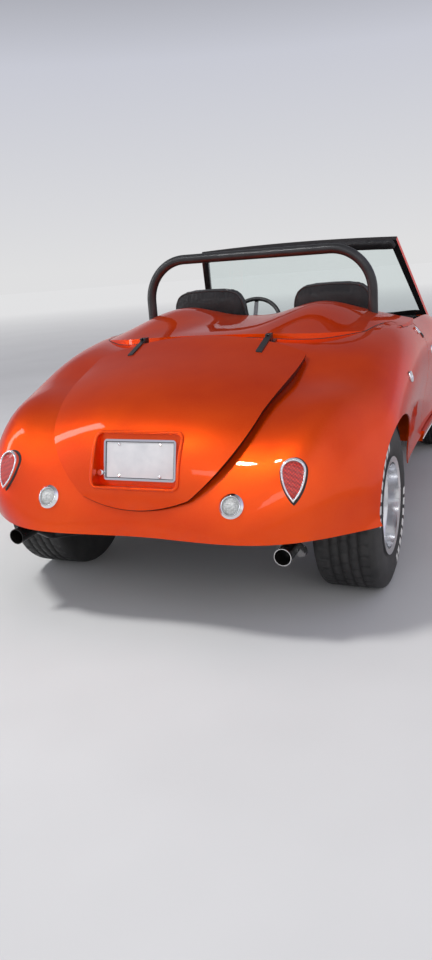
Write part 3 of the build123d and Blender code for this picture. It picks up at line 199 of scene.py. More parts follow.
def cloudy(name, dark, light, cloud, haze, rough, rough_from=0.3, **surface):
    """A polished finish with a cloud in its tint and a haze on its gloss, both faint."""
    f = Finish(name, **surface)
    tint = f.ramp(f.noise(cloud), dark, light)
    return f.made(Base_Color=tint, Roughness=f.step(f.noise(haze), *rough, rough_from))


def grained(name, dark, light, scale, depth, rough, **surface):
    """A material with its own grain: gloss and height follow one noise, and colour a wider one."""
    f = Finish(name, **surface)
    grain = f.noise(scale, 4.0)
    tint = f.ramp(f.noise(scale / 30), dark, light)
    return f.made(Base_Color=tint, Roughness=f.step(grain, *rough), Normal=f.bump(grain, 0.35, depth))


def vinyl():
    """Black seat vinyl: soft wrinkles under a pebbled leather grain."""
    f = Finish("black_vinyl", Coat_Weight=0.10, Coat_Roughness=0.35, Specular_IOR_Level=0.35)
    pebbles = f.cells(420.0, feature="DISTANCE_TO_EDGE")
    wrinkle = f.bump(f.noise(16.0, 2.0, Distortion=1.4), 0.35, 0.010)
    return f.made(
        Base_Color=f.ramp(f.noise(9.0), (0.008, 0.008, 0.009), (0.019, 0.018, 0.019)),
        Roughness=f.step(pebbles, 0.58, 0.40, 0.0, 0.4),
        Normal=f.bump(f.step(pebbles, 0.0, 1.0, 0.0, 0.25), 0.45, 0.0009, Normal=wrinkle))


def red_lens():
    """Red moulded lens with a raised pattern of diamond scales."""
    f = Finish("red_lens", Transmission_Weight=0.12, IOR=1.5, Coat_Weight=0.7, Coat_Roughness=0.02)
    aslant = f.add("Mapping", {"Vector": f.place, "Rotation": (0.0, radians(45), 0.0)}).outputs[0]
    scales = f.cells(120.0, aslant, Randomness=0.0)
    return f.made(
        Base_Color=f.ramp(scales, (0.80, 0.040, 0.022), (0.22, 0.004, 0.004), 0.20, 0.70),
        Roughness=f.step(scales, 0.10, 0.25, 0.0, 0.7), Normal=f.bump(scales, 0.9, 0.004))


def clear_lens():
    """Clear moulded lens over a bright reflector, with small pillow optics."""
    f = Finish("clear_lens", Metallic=0.35, Transmission_Weight=0.10, IOR=1.5, Coat_Weight=1.0,
               Coat_Roughness=0.02)
    pillows = f.cells(150.0, Randomness=0.25)
    return f.made(
        Base_Color=f.ramp(pillows, (0.80, 0.81, 0.78), (0.42, 0.43, 0.41), 0.1, 0.7),
        Roughness=f.step(pillows, 0.08, 0.22, 0.0, 0.7), Normal=f.bump(pillows, 0.8, 0.003))


# Number plate: the middle of the pocket's floor and its directions, the frame's inner edge
# from that middle, and the painted shadow line inside the edge
PLATE_TILT = radians(14.4)
POCKET_NORMAL = Vector((0, cos(PLATE_TILT), sin(PLATE_TILT)))
POCKET_RISE = Vector((0, -sin(PLATE_TILT), cos(PLATE_TILT)))
POCKET_FLOOR = Vector((0, 2.012, 0.688)) - POCKET_NORMAL * 0.047
PLATE_HALF = (0.1475, 0.0715)
PLATE_SHADOW_LINE = 0.003


def plate_white():
    """A blank white enamelled plate, a dark line round it that is painted shadow of the frame's inner edge,
    and the polished frame outside.
    """
    f = Finish("plate_white", Coat_Weight=0.3, Coat_Roughness=0.2)
    across = f.math("ABSOLUTE", f.split(f.place)["X"])
    offset = f.vector("SUBTRACT", f.place, tuple(POCKET_FLOOR))
    rise = f.vector("DOT_PRODUCT", offset, tuple(POCKET_RISE), output="Value")
    height = f.math("ABSOLUTE", rise)

    def past(margin):
        """1 outside the plate made smaller by a margin."""
        wide = f.math("GREATER_THAN", across, PLATE_HALF[0] - margin)
        high = f.math("GREATER_THAN", height, PLATE_HALF[1] - margin)
        return f.math("MAXIMUM", wide, high)

    rim = past(0.0)
    white = f.ramp(f.noise(18.0), (0.60, 0.61, 0.62), (0.70, 0.70, 0.70))
    # A dark line just inside the frame's edge: painted shadow of the frame.
    shadow_lined = f.mix(past(PLATE_SHADOW_LINE), white, (0.06, 0.06, 0.065, 1))
    return f.made(Base_Color=f.mix(rim, shadow_lined, (0.62, 0.62, 0.64, 1)), Metallic=rim,
                  Roughness=f.step(rim, 0.36, 0.10), Normal=f.bump(f.noise(600.0), 0.2, 0.0003))


# Steering wheel: hub's middle, the way it faces, and where the rim starts
WHEEL_HUB = Vector((0.300, -0.250, 0.978))
WHEEL_AXIS = Vector((0.0, cos(radians(25)), sin(radians(25))))
RIM_START = 0.158


def steering_wheel():
    """A black leather rim, and dark metal spokes and hub inside it."""
    f = Finish("steering_wheel")
    offset = f.vector("SUBTRACT", f.place, tuple(WHEEL_HUB))
    across = f.vector("CROSS_PRODUCT", offset, tuple(WHEEL_AXIS))
    rim = f.math("GREATER_THAN", f.vector("LENGTH", across, output="Value"), RIM_START)
    return f.made(
        Base_Color=f.mix(rim, (0.07, 0.07, 0.075, 1), (0.016, 0.015, 0.015, 1)),
        Metallic=f.step(rim, 1.0, 0.0), Roughness=f.step(rim, 0.42, 0.38),
        Normal=f.bump(f.noise(420.0), 0.2, 0.0003))


# Exhaust tips: their axis, a radius just past the bore's, and where the soot starts
TIP_X, TIP_Z, TIP_BORE, TIP_FLOOR_Y = 0.580, 0.350, 0.0307, 1.92


def exhaust(name, dark, light, metal):
    """An exhaust: bright or black outside, sooty inside the tip's bore."""
    f = Finish(name)
    place = f.split(f.place)
    across = f.math("ABSOLUTE", place["X"])
    flat = f.add("CombineXYZ", {"X": across, "Z": place["Z"]}).outputs[0]
    off = f.vector("DISTANCE", flat, (TIP_X, 0.0, TIP_Z), output="Value")
    inside = f.math("LESS_THAN", off, TIP_BORE)
    soot = f.math("MULTIPLY", inside, f.math("GREATER_THAN", place["Y"], TIP_FLOOR_Y))
    skin = f.ramp(f.noise(30.0), dark, light)
    return f.made(Base_Color=f.mix(soot, skin, (0.010, 0.009, 0.008, 1)),
                  Metallic=f.step(soot, metal, 0.0), Roughness=f.step(f.noise(45.0), 0.10, 0.28))


# Grained finishes: darkest and lightest colour, the grain's scale and depth, and the gloss it spans
GRAINED = {
    "black_satin": ((0.010, 0.010, 0.011), (0.022, 0.022, 0.023), 500.0, 0.0003, (0.26, 0.40)),
    "chassis_black": ((0.018, 0.017, 0.016), (0.045, 0.042, 0.038), 260.0, 0.0006, (0.5, 0.75)),
    "tyre_rubber": ((0.014, 0.014, 0.014), (0.030, 0.029, 0.028), 420.0, 0.0006, (0.55, 0.75)),
    "trim_black": ((0.012, 0.012, 0.012), (0.028, 0.027, 0.027), 700.0, 0.0005, (0.5, 0.7)),
    "mark_white": ((0.62, 0.61, 0.58), (0.75, 0.74, 0.71), 300.0, 0.0003, (0.5, 0.7)),
    "piping": ((0.020, 0.020, 0.021), (0.034, 0.033, 0.034), 500.0, 0.0002, (0.22, 0.35)),
}
FINISHES = {name: grained(name, *values) for name, values in GRAINED.items()}
FINISHES |= {
    "body_paint": paint("body_paint"),
    "chrome": cloudy("chrome", (0.80, 0.81, 0.83), (0.90, 0.90, 0.90), 6.0, 40.0, (0.04, 0.10), 0.35,
                     Metallic=1.0),
    "alloy": cloudy("alloy", (0.70, 0.71, 0.73), (0.84, 0.84, 0.85), 9.0, 14.0, (0.10, 0.18),
                    Metallic=1.0),
    "clear_glass": cloudy("clear_glass", (0.86, 0.93, 0.92), (0.8858, 0.9579, 0.9476), 3.0, 25.0,
                          (0.0, 0.03), Transmission_Weight=1.0, IOR=1.45),
    "red_lens": red_lens(),
    "clear_lens": clear_lens(),
    "black_vinyl": vinyl(),
    "plate_white": plate_white(),
    "cast_iron": grained("cast_iron", (0.10, 0.10, 0.10), (0.17, 0.165, 0.16), 300.0, 0.0012,
                         (0.5, 0.75), Metallic=0.6),
}

# Nodes whose finish isn't simply that of their slot
DOOR_BLACK = (0.013, 0.013, 0.014)
OWN_FINISH = {
    # The boot lid's side wall is painted near black: painted shade where its edge stands proud of the body.
    "boot_lid": paint("lid_paint_with_painted_shade", lid_wall_painted_shade, (0.012, 0.003, 0.002)),
    "windscreen_frame": paint("screen_paint", screen_inside, (0.014, 0.014, 0.015)),
    "door_left": paint("door_paint_left", door_inside, DOOR_BLACK),
    "door_right": paint("door_paint_right", door_inside, DOOR_BLACK),
    "steering_wheel": steering_wheel(),
    "exhaust_left": exhaust("exhaust_black", (0.014, 0.014, 0.015), (0.030, 0.029, 0.028), 0.6),
    "exhaust_right": exhaust("exhaust_bright", (0.62, 0.61, 0.60), (0.80, 0.79, 0.78), 1.0),
}


def paint_nodes():
    """Every CAD node gets the finish of its slot, or its own."""
    for part in frame["record"]["subparts"]:
        node = part["node"]
        mesh = NODES[node].data
        mesh.materials.clear()
        mesh.materials.append(OWN_FINISH.get(node) or FINISHES[part["material_slot"]])


def new_object(name, data):
    """A new object in the scene."""
    made = bpy.data.objects.new(name, data)
    bpy.context.scene.collection.objects.link(made)
    return made


def make_camera():
    """The photograph's camera."""
    forward = Vector(CAMERA_FORWARD).normalized()
    up = Vector(CAMERA_UP).normalized()
    data = bpy.data.cameras.new("photo_camera")
    data.sensor_width = SENSOR
    data.lens = FOCAL_PIXELS * SENSOR / PHOTO_HEIGHT
    data.clip_end = CLIP_END
    camera = new_object("photo_camera", data)
    rotation = Matrix((forward.cross(up), up, -forward)).transposed()
    camera.matrix_world = Matrix.Translation(CAMERA_AT) @ rotation.to_4x4()
    bpy.context.scene.camera = camera


def area_light(name, at, size, power, mirrored=False):
    """A soft lamp, round or oblong. It lights matt surfaces, or if mirrored only shows in glossy ones."""
    data = bpy.data.lights.new(name, "AREA")
    data.shape = "DISK" if size[0] == size[1] else "RECTANGLE"
    data.size, data.size_y = size
    data.energy = power
    light = new_object(name, data)
    light.visible_diffuse = not mirrored
    light.visible_glossy = mirrored
    light.location = at
    light.rotation_euler = (Vector(LIGHTS_AIM) - Vector(at)).to_track_quat("-Z", "Y").to_euler()


# Sky brightness by the sine of the height above the horizon: ahead of the car, and behind it
SKY_AHEAD = [(0.0, 0.74), (0.22, 0.61), (0.35, 0.28), (0.80, 0.20), (1.0, 0.30)]
SKY_BEHIND = [(0.0, 0.74), (0.22, 0.66), (0.50, 0.78), (0.80, 0.62), (1.0, 0.26)]
SKY_TURN = (-0.15, 0.55)
# Its colours at the horizon and straight up, and between them
SKY_ENDS = (1.0, 1.0, 1.01)
SKY_TINT = (0.95, 0.97, 1.08)
# A cool glow from the car's right, and the brightest that the sky gets
SIDE_TURN = (-0.12, -0.75)
SIDE_GLOW = (0.30, 0.28, 0.42)
SKY_LIMIT = (0.88, 0.88, 0.92)
# Floor: its radius, and the distances over which it turns into the horizon's own light
FLOOR_RADIUS = 60
FLOOR_FADE = (3.5, 26.0)
# Lamps: the place that they aim at, the one that casts the shadow, and one that the paint mirrors
LIGHTS_AIM = (0.0, 0.6, 0.6)
KEY_AT = (2.6, 3.4, 6.6)
GLINT_AT = (2.0, 5.2, 6.4)


def sky_ramp(sky, value, stops):
    """A ramp node through (place, brightness) stops: grey at both ends, a little cooler between them."""
    ramp = sky.add("ValToRGB", {"Fac": value})
    marks = ramp.color_ramp.elements
    for mark, (place, bright) in zip((marks[0], marks[1]), (stops[0], stops[-1])):
        mark.position = place
        mark.color = (*(bright * c for c in SKY_ENDS), 1)
    for place, bright in stops[1:-1]:
        marks.new(place).color = (*(bright * c for c in SKY_TINT), 1)
    return ramp.outputs["Color"]


def make_sky():
    """A pale horizon under a sky that is darker ahead and overhead than behind."""
    world = bpy.data.worlds.new("sky")
    world.use_nodes = True
    bpy.context.scene.world = world
    sky = Nodes(world.node_tree)
    place = sky.split(sky.add("TexCoord", {}).outputs["Generated"])
    behind = sky.step(place["Y"], 0.0, 1.0, *SKY_TURN, interpolation_type="SMOOTHSTEP")
    grey = sky.mix(behind, sky_ramp(sky, place["Z"], SKY_AHEAD), sky_ramp(sky, place["Z"], SKY_BEHIND))
    side = sky.step(place["X"], 0.0, 1.0, *SIDE_TURN, interpolation_type="SMOOTHSTEP")
    glow = sky.mix(side, grey, (*SIDE_GLOW, 1), "ADD")
    limited = sky.mix(1.0, glow, (*SKY_LIMIT, 1), "DARKEN")
    background = sky.tree.nodes["Background"]
    sky.tree.links.new(limited, background.inputs["Color"])
    background.inputs["Strength"].default_value = 1.0


def make_stage():
    """A pale floor that meets a pale sky, and soft lamps."""
    bpy.ops.mesh.primitive_circle_add(vertices=96, radius=FLOOR_RADIUS, fill_type="NGON")
    floor = bpy.context.object
    floor.name = "floor"
    f = Finish("floor", Roughness=0.9, Specular_IOR_Level=0.1, Emission_Color=(*SKY_ENDS, 1))
    away = f.vector("LENGTH", f.place, output="Value")
    near = f.ramp(f.noise(0.8), (0.60, 0.60, 0.59), (0.66, 0.66, 0.65))
    floor.data.materials.append(f.made(
        Base_Color=f.mix(f.step(away, 0.0, 1.0, *FLOOR_FADE), near, (0.0, 0.0, 0.0, 1)),
        Emission_Strength=f.step(away, 0.0, SKY_AHEAD[0][1], *FLOOR_FADE)))
    make_sky()
    area_light("key", KEY_AT, (1.3, 1.3), 300)
    area_light("glint", GLINT_AT, (0.28, 0.28), 110, mirrored=True)
    area_light("strip_left", (4.2, 2.5, 2.6), (0.5, 4.5), 50, mirrored=True)
    area_light("strip_rear", (-1.2, 9.0, 4.2), (4.5, 0.8), 35, mirrored=True)
    area_light("top", (0.5, -0.5, 6.0), (5.0, 6.0), 70)
    area_light("rear_fill", (-3.5, 6.5, 3.0), (5.0, 3.0), 60)


def spread(ends, n, count):
    """The place after n of count even steps from one end to the other."""
    return ends[0] + (ends[1] - ends[0]) * n / count


def clamped(value):
    """A number kept between 0 and 1."""
    return max(0.0, min(1.0, value))


def bell(off, width):
    """1 where off is 0, falling smoothly to nothing over a few widths."""
    return exp(-(off / width) ** 2)


def groove(value, pitch, width, depth):
    """Depth of a row of grooves at whole multiples of pitch."""
    off = abs((value / pitch + 0.5) % 1 - 0.5) * pitch
    return depth * bell(off, width)


def arc_points(start, middle, end, count):
    """Points of a shallow curve through three points, without its start."""
    points = []
    for n in range(1, count + 1):
        t = n / count
        a, b, c = (1 - t) * (1 - 2 * t), 4 * t * (1 - t), t * (2 * t - 1)
        points.append(tuple(a * s + b * m + c * e for s, m, e in zip(start, middle, end)))
    return points


def ring_faces(rings, count, foot=False, top=True):
    """Faces that join rings of count points each, with a cap on the first or the last ring if asked."""
    faces = []
    for k in range(rings - 1):
        for n in range(count):
            m = (n + 1) % count
            faces.append((k * count + n, k * count + m, (k + 1) * count + m, (k + 1) * count + n))
    if foot:
        faces.append(tuple(range(count - 1, -1, -1)))
    if top:
        faces.append(tuple((rings - 1) * count + n for n in range(count)))
    return faces


def riding(name, mesh, finish, body):
    """A piece with one finish, made of a mesh, that moves with a body."""
    mesh.materials.clear()
    mesh.materials.append(FINISHES[finish])
    piece = new_object(name, mesh)
    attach(piece, body)
    return piece


def new_piece(name, vertices, faces, finish, body="root"):
    """A piece from its points and faces."""
    mesh = bpy.data.meshes.new(name)
    mesh.from_pydata(vertices, [], faces)
    mesh.validate()
    mesh.shade_smooth()
    return riding(name, mesh, finish, body)


def tube_piece(name, points, radius, finish, body="root", closed=False):
    """A round tube along points, as a mesh."""
    curve = bpy.data.curves.new(name, "CURVE")
    curve.dimensions = "3D"
    curve.bevel_depth = radius
    curve.bevel_resolution = 3
    spline = curve.splines.new("POLY")
    spline.points.add(len(points) - 1)
    for point, co in zip(spline.points, points):
        point.co = (*co, 1)
    spline.use_cyclic_u = closed
    curve.use_fill_caps = True
    line = new_object(name + "_line", curve)
    graph = bpy.context.evaluated_depsgraph_get()
    graph.update()
    mesh = bpy.data.meshes.new_from_object(line.evaluated_get(graph))
    bpy.data.objects.remove(line)
    mesh.name = name
    mesh.shade_smooth()
    return riding(name, mesh, finish, body)


def turned(name, rows, place, along, finish, body="root", count=40, relief=None, **caps):
    """A round piece: (radius, height) rows turned about an axis. relief(row, turn) lifts a point."""
    along = Vector(along).normalized()
    side = along.orthogonal().normalized()
    over = along.cross(side)
    vertices = []
    for row, (radius, height) in enumerate(rows):
        for n in range(count):
            turn = 2 * pi * n / count
            lift = height + (relief(row, turn) if relief else 0.0)
            out = side * cos(turn) + over * sin(turn)
            vertices.append(Vector(place) + out * radius + along * lift)
    return new_piece(name, vertices, ring_faces(len(rows), count, **caps), finish, body)


def hit(node, start, direction):
    """Where a line first meets a CAD node, and the surface's normal there."""
    found, place, normal, _ = NODES[node].ray_cast(Vector(start), Vector(direction).normalized())
    if not found:
        raise ValueError(f"no hit on {node} from {start}")
    return place, normal


def flank(node, side, y, z):
    """Where a line from beside the car meets a CAD node, and the surface's normal there."""
    return hit(node, (side * 1.2, y, z), (-side, 0, 0))


# Tyres: how far bead and shoulder lie in from the widest place, and the tread inside the CAD tyre
TYRE_SEGMENTS = 320
BEAD_RADII = (0.1905, 0.2105)
BEAD_IN, SHOULDER_IN = 0.0168, 0.042
CROWN_DROP = 0.0016
TREAD_SINK = 0.0005
# Tread: ribs and the grooves between them
RIBS, GROOVE_HALF, GROOVE_LEAN, GROOVE_DEPTH = 5, 0.0045, 0.001, 0.007
# Cuts across the ribs, by segments
CUT_EVERY, CUT_SHIFT, CUT_DEPTH = 8, 3, 0.005
# White bars: their part of the flank's height and of each half turn, and their segments
BAR_HEIGHTS = (0.36, 0.58)
BAR_SHARE = 0.42
BAR_PITCH, BAR_SEGMENTS = 9, 6


def tread_profile(half, radius):
    """(x, r, rib) points of a tyre's section from one bead to the other. rib is None off the tread."""
    reach = half - SHOULDER_IN
    flank_radius = (0.190 + radius) / 2 + 0.005
    side = [(half - BEAD_IN, r) for r in BEAD_RADII]
    side += arc_points(side[-1], (half - 0.001, flank_radius), (half - 0.014, radius - 0.014), 14)
    side += arc_points(side[-1], (half - 0.026, radius - 0.004), (reach, radius - CROWN_DROP), 5)
    pitch = 2 * reach / RIBS
    crown = []
    for rib in range(RIBS):
        start = reach - rib * pitch
        end = start - pitch
        middle = (start + end) / 2
        last = rib == RIBS - 1
        top = radius - CROWN_DROP * (middle / reach) ** 2
        start_in = GROOVE_HALF if rib else GROOVE_LEAN
        end_in = GROOVE_LEAN if last else GROOVE_HALF
        crown += [(x, top, rib) for x in (start - start_in, middle, end + end_in)]
        if not last:
            floor_half = GROOVE_HALF - GROOVE_LEAN
            crown += [(x, top - GROOVE_DEPTH, None) for x in (end + floor_half, end - floor_half)]
    right = [(x, r, None) for x, r in side]
    return right + crown + [(-x, r, rib) for x, r, rib in reversed(right)]


def make_tyre(corner):
    """A treaded tyre with plain white bars on its outer flank."""
    node = "tyre_" + corner
    low, high = (Vector(c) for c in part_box(node))
    centre = (low + high) / 2
    half, radius = (high.x - low.x) / 2, (high.z - low.z) / 2
    profile = tread_profile(half, radius - TREAD_SINK)
    side = 1 if centre.x > 0 else -1
    count = len(profile)
    bead = BEAD_RADII[1]
    bar_low, bar_high = (bead + share * (radius - bead) for share in BAR_HEIGHTS)
    vertices, faces, white = [], [], []
    for s in range(TYRE_SEGMENTS):
        turn = 2 * pi * s / TYRE_SEGMENTS
        for x, r, rib in profile:
            if rib is not None and (s + CUT_SHIFT * rib) % CUT_EVERY == 0:
                r -= CUT_DEPTH
            vertices.append((centre.x + side * x, centre.y + r * cos(turn), centre.z + r * sin(turn)))
        after = (s + 1) % TYRE_SEGMENTS
        beat = s % (TYRE_SEGMENTS // 2)
        marked = beat < TYRE_SEGMENTS // 2 * BAR_SHARE and beat % BAR_PITCH < BAR_SEGMENTS
        for n in range(count - 1):
            faces.append((s * count + n, s * count + n + 1, after * count + n + 1, after * count + n))
            r = (profile[n][1] + profile[n + 1][1]) / 2
            white.append(profile[n][0] > 0.5 * half and bar_low < r < bar_high and marked)
    tyre = new_piece("treaded_" + node, vertices, faces, "tyre_rubber", "wheel_" + corner)
    tyre.data.materials.append(FINISHES["mark_white"])
    tyre.data.polygons.foreach_set("material_index", [int(w) for w in white])
    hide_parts(node)


# Seats: the back leans from its foot to its top, both (y, z), and the cushion slopes up ahead
SEAT_X = 0.358
BACK_FOOT, BACK_TOP = (0.222, 0.560), (0.316, 1.247)
BACK_THICK, CUSHION_THICK = 0.108, 0.15
BACK_ROWS = [(0.196, 0.0), (0.232, 0.06), (0.234, 0.40), (0.228, 0.53), (0.206, 0.660), (0.120, 0.692)]
CUSHION_ROWS = [(0.215, -0.155), (0.238, -0.05), (0.236, 0.18), (0.215, 0.225)]
CUSHION_AT, CUSHION_SLOPE = (0.03, 0.536), 0.05
# Pads: rings on each face, how square the edges are, and what the last ring leaves open
PAD_RINGS, PAD_POWER, PAD_OPEN = 9, 0.62, 0.35
PAD_VOXEL = 0.009
PAD_PRESSURE, PAD_FRAMES, PAD_GROWTH = 4, 16, 0.008
# Pleats: pitch, width and depth, and half the width that they fill
PLEATS = (0.055, 0.005, 0.007)
FIELD_HALF = 0.165
# The seams beside the pleats, and the piping
SEAM_U, SEAM_WIDTH, SEAM_DEPTH = 0.168, 0.004, 0.006
PIPING_RADIUS, PIPING_LIFT = 0.0045, 0.001


def rounded_outline(rows):
    """A closed outline through (half width, height) rows, mirrored, smoothed by Chaikin cuts."""
    points = rows + [(-w, h) for w, h in reversed(rows)]
    for _ in range(3):
        cut = []
        for n, (x, y) in enumerate(points):
            nx, ny = points[(n + 1) % len(points)]
            cut += [(near * x + (1 - near) * nx, near * y + (1 - near) * ny) for near in (0.75, 0.25)]
        points = cut
    return points


def pillow(name, outline, thickness, place):
    """A crowned pad: its outline drawn in ring by ring on both faces. place maps (u, v, depth)."""
    cu = sum(u for u, v in outline) / len(outline)
    cv = sum(v for u, v in outline) / len(outline)
    vertices = []
    for k in range(-PAD_RINGS, PAD_RINGS + 1):
        turn = pi / 2 * k / (PAD_RINGS + PAD_OPEN)
        shrink = abs(cos(turn)) ** PAD_POWER
        depth = copysign(abs(sin(turn)) ** PAD_POWER, turn) * thickness / 2
        vertices += [place(cu + (u - cu) * shrink, cv + (v - cv) * shrink, depth) for u, v in outline]
    mesh = bpy.data.meshes.new(name)
    mesh.from_pydata(vertices, [], ring_faces(2 * PAD_RINGS + 1, len(outline), foot=True))
    return new_object(name, mesh)


def settle(piece):
    """Applies a piece's modifiers."""
    graph = bpy.context.evaluated_depsgraph_get()
    done = bpy.data.meshes.new_from_object(piece.evaluated_get(graph))
    piece.modifiers.clear()
    piece.data = done


def inflate(pad):
    """The pad remeshed and blown up a little as cloth, no point moving further than PAD_GROWTH."""
    remesh = pad.modifiers.new("remesh", "REMESH")
    remesh.mode = "VOXEL"
    remesh.voxel_size = PAD_VOXEL
    settle(pad)
    start = [v.co.copy() for v in pad.data.vertices]
    cloth = pad.modifiers.new("cloth", "CLOTH")
    cloth.settings.use_pressure = True
    cloth.settings.uniform_pressure_force = PAD_PRESSURE
    cloth.settings.effector_weights.gravity = 0
    cloth.point_cache.frame_start = 1
    cloth.point_cache.frame_end = PAD_FRAMES
    for step in range(1, PAD_FRAMES + 1):
        bpy.context.scene.frame_set(step)
    settle(pad)
    bpy.context.scene.frame_set(1)
    for vertex, old in zip(pad.data.vertices, start):
        move = vertex.co - old
        if move.length > PAD_GROWTH:
            vertex.co = old + move * (PAD_GROWTH / move.length)


def sew(pad, channel):
    """Sews a pad: channel(co) is how deep, in metres, a point is drawn in along its normal."""
    pad.data.update()
    normals = [v.normal.copy() for v in pad.data.vertices]
    for vertex, normal in zip(pad.data.vertices, normals):
        vertex.co -= normal * channel(vertex.co)


def pipe(name, pad, line):
    """Piping along the places on a pad that are nearest to a line."""
    bpy.context.view_layer.update()
    nearest = [pad.closest_point_on_mesh(point) for point in line]
    points = [place + normal * PIPING_LIFT for _, place, normal, _ in nearest]
    tube_piece(name, points, PIPING_RADIUS, "piping", closed=True)


def make_seat(side, word):
    """One bucket seat: a pleated cushion and back with piping, both blown up as cloth."""
    rise = Vector((0, BACK_TOP[0] - BACK_FOOT[0], BACK_TOP[1] - BACK_FOOT[1])).normalized()
    ahead = Vector((0, -rise.z, rise.y))
    foot = Vector((side * SEAT_X, *BACK_FOOT))

    def on_back(u, v, depth):
        """A point of the back."""
        return foot + Vector((u, 0, 0)) + rise * v + ahead * depth

    def on_base(u, v, depth):
        """A point of the cushion."""
        y, z = CUSHION_AT
        return Vector((side * SEAT_X + u, y + v, z - CUSHION_SLOPE * v + depth))

    back = pillow("seat_back_" + word, rounded_outline(BACK_ROWS), BACK_THICK, on_back)
    base = pillow("seat_cushion_" + word, rounded_outline(CUSHION_ROWS), CUSHION_THICK, on_base)
    for pad in (back, base):
        inflate(pad)

    def back_channel(co):
        """Pleats and seams on the front face, and small gathers over the top."""
        u, v = co.x - side * SEAT_X, (co - foot).dot(rise)
        front = clamped((co - foot).dot(ahead) / 0.02)
        inside = front * (abs(u) < FIELD_HALF) * (0.05 < v < 0.52)
        seam = SEAM_DEPTH * bell(abs(u) - SEAM_U, SEAM_WIDTH) * front * (0.03 < v < 0.55)
        headrest = 0.008 * bell(v - 0.535, 0.006) * front * (abs(u) < 0.19)
        gathers = 0.0016 * bell(v - 0.655, 0.035) * (1 + cos(u * 250 + 1.8 * sin(u * 37)))
        return inside * groove(u, *PLEATS) + seam + headrest + gathers

    def base_channel(co):
        """Pleats and seams on the upper face."""
        u = co.x - side * SEAT_X
        upper = clamped((co.z - 0.56) / 0.02)
        inside = upper * (abs(u) < FIELD_HALF) * (-0.10 < co.y < 0.19)
        return inside * groove(u, *PLEATS) + upper * SEAM_DEPTH * bell(abs(u) - SEAM_U, SEAM_WIDTH)

    sew(back, back_channel)
    sew(base, base_channel)
    for pad in (back, base):
        smooth = pad.modifiers.new("smooth", "SUBSURF")
        smooth.levels = smooth.render_levels = 1
        settle(pad)
        pad.data.materials.clear()
        pad.data.materials.append(FINISHES["black_vinyl"])
        pad.data.shade_smooth()
        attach(pad, "root")
    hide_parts("seat_" + word)
    for face, depth in (("front", 0.026), ("rear", -0.026)):
        line = [on_back(u, v, depth) for u, v in rounded_outline(BACK_ROWS)]
        pipe(f"seat_piping_{face}_{word}", back, line)
    line = [on_base(u, v, 0.04) for u, v in rounded_outline(CUSHION_ROWS)]
    pipe("cushion_piping_" + word, base, line)


# Lines down to the deck start here, and what they meet lower than this isn't deck
PROBE_Z, DECK_LOW = 1.4, 0.90
# Where the fairing's seam dips under the rear wings: its range and grid, and the fill's overlap
SEAM_X, SEAM_Y = (0.600, 0.820), (0.600, 1.00)
SEAM_GRID = (56, 90)
SEAM_SINK = 0.0012
SEAM_OVERLAP = 2


def height_of(node, x, y, lowest=0.0):
    """Height of a CAD node's upper side at a point, or None where there is none above lowest."""
    found, place, _, _ = NODES[node].ray_cast(Vector((x, y, PROBE_Z)), Vector((0, 0, -1)))
    return place.z if found and place.z > lowest else None


def top_of(x, y):
    """Height of the body or the fairing under a point, whichever is higher, or None over an opening."""
    heights = [height_of(node, x, y, DECK_LOW) for node in ("rear_body", "headrest_fairing")]
    return max((z for z in heights if z is not None), default=None)


def make_seam_fill(side, word):
    """A painted strip just under the fairing's seam, which closes it where the wing stands higher."""
    nx, ny = SEAM_GRID
    xs = [spread(SEAM_X, i, nx - 1) for i in range(nx)]
    ys = [spread(SEAM_Y, j, ny - 1) for j in range(ny)]
    heights = {(i, j): top_of(side * x, y) for i, x in enumerate(xs) for j, y in enumerate(ys)}
    open_cells = {cell for cell, z in heights.items() if z is None}
    for i, j in open_cells:
        before = max((k for k in range(i) if (k, j) not in open_cells), default=None)
        after = min((k for k in range(i + 1, nx) if (k, j) not in open_cells), default=None)
        if before is None or after is None:
            continue
        t = (i - before) / (after - before)
        heights[i, j] = heights[before, j] * (1 - t) + heights[after, j] * t
    around = range(-SEAM_OVERLAP, SEAM_OVERLAP + 1)
    near = {(i + di, j + dj) for i, j in open_cells for di in around for dj in around}
    near = sorted(cell for cell in near if heights.get(cell) is not None)
    number = {cell: n for n, cell in enumerate(near)}
    vertices = [(side * xs[i], ys[j], heights[i, j] - SEAM_SINK) for i, j in near]
    faces = []
    for i, j in near:
        corners = [(i, j), (i + 1, j), (i + 1, j + 1), (i, j + 1)]
        if all(c in number for c in corners):
            faces.append(tuple(number[c] for c in corners))
    if faces:
        new_piece("seam_fill_" + word, vertices, faces, "body_paint")


# The fairing's edge is looked for on rays from here, between these distances and angles
FAIRING_MIDDLE_Y = 0.45
FAIRING_REACH = (0.30, 0.98)
FAIRING_TURNS = range(9, 172, 2)
# How far outside the edge the body is measured, and the dark line's radius
EDGE_OUT, EDGE_LINE = 0.004, 0.0026


def on_ray(turn, reach):
    """The place on a ray of that turn, so far out."""
    return reach * cos(turn), FAIRING_MIDDLE_Y + reach * sin(turn)


def make_fairing_seam():
    """The dark line where the fairing meets the body, from one door opening round the back to the other."""
    places, heights = [], []
    for degrees in FAIRING_TURNS:
        turn = radians(degrees)
        near, far = FAIRING_REACH
        for _ in range(16):
            reach = (near + far) / 2
            height = height_of("headrest_fairing", *on_ray(turn, reach))
            if height is None:
                far = reach
            else:
                near, edge = reach, height - SEAM_SINK
        for node in ("rear_body", "boot_lid"):
            under = height_of(node, *on_ray(turn, far + EDGE_OUT), DECK_LOW)
            if under is not None:
                edge = under
        places.append(on_ray(turn, far))
        heights.append(edge)
    runs = [heights[max(0, n - 1):n + 2] for n in range(len(heights))]
    line = [(*place, sum(run) / len(run)) for place, run in zip(places, runs)]
    tube_piece("fairing_seam", line, EDGE_LINE, "trim_black")


# Tail lamps: x and z of the middle, width and height, and the rim's height over the body
TAIL_LAMP = (0.616, 0.621)
TAIL_SIZE = (0.092, 0.162)
TAIL_RISE = 0.0138


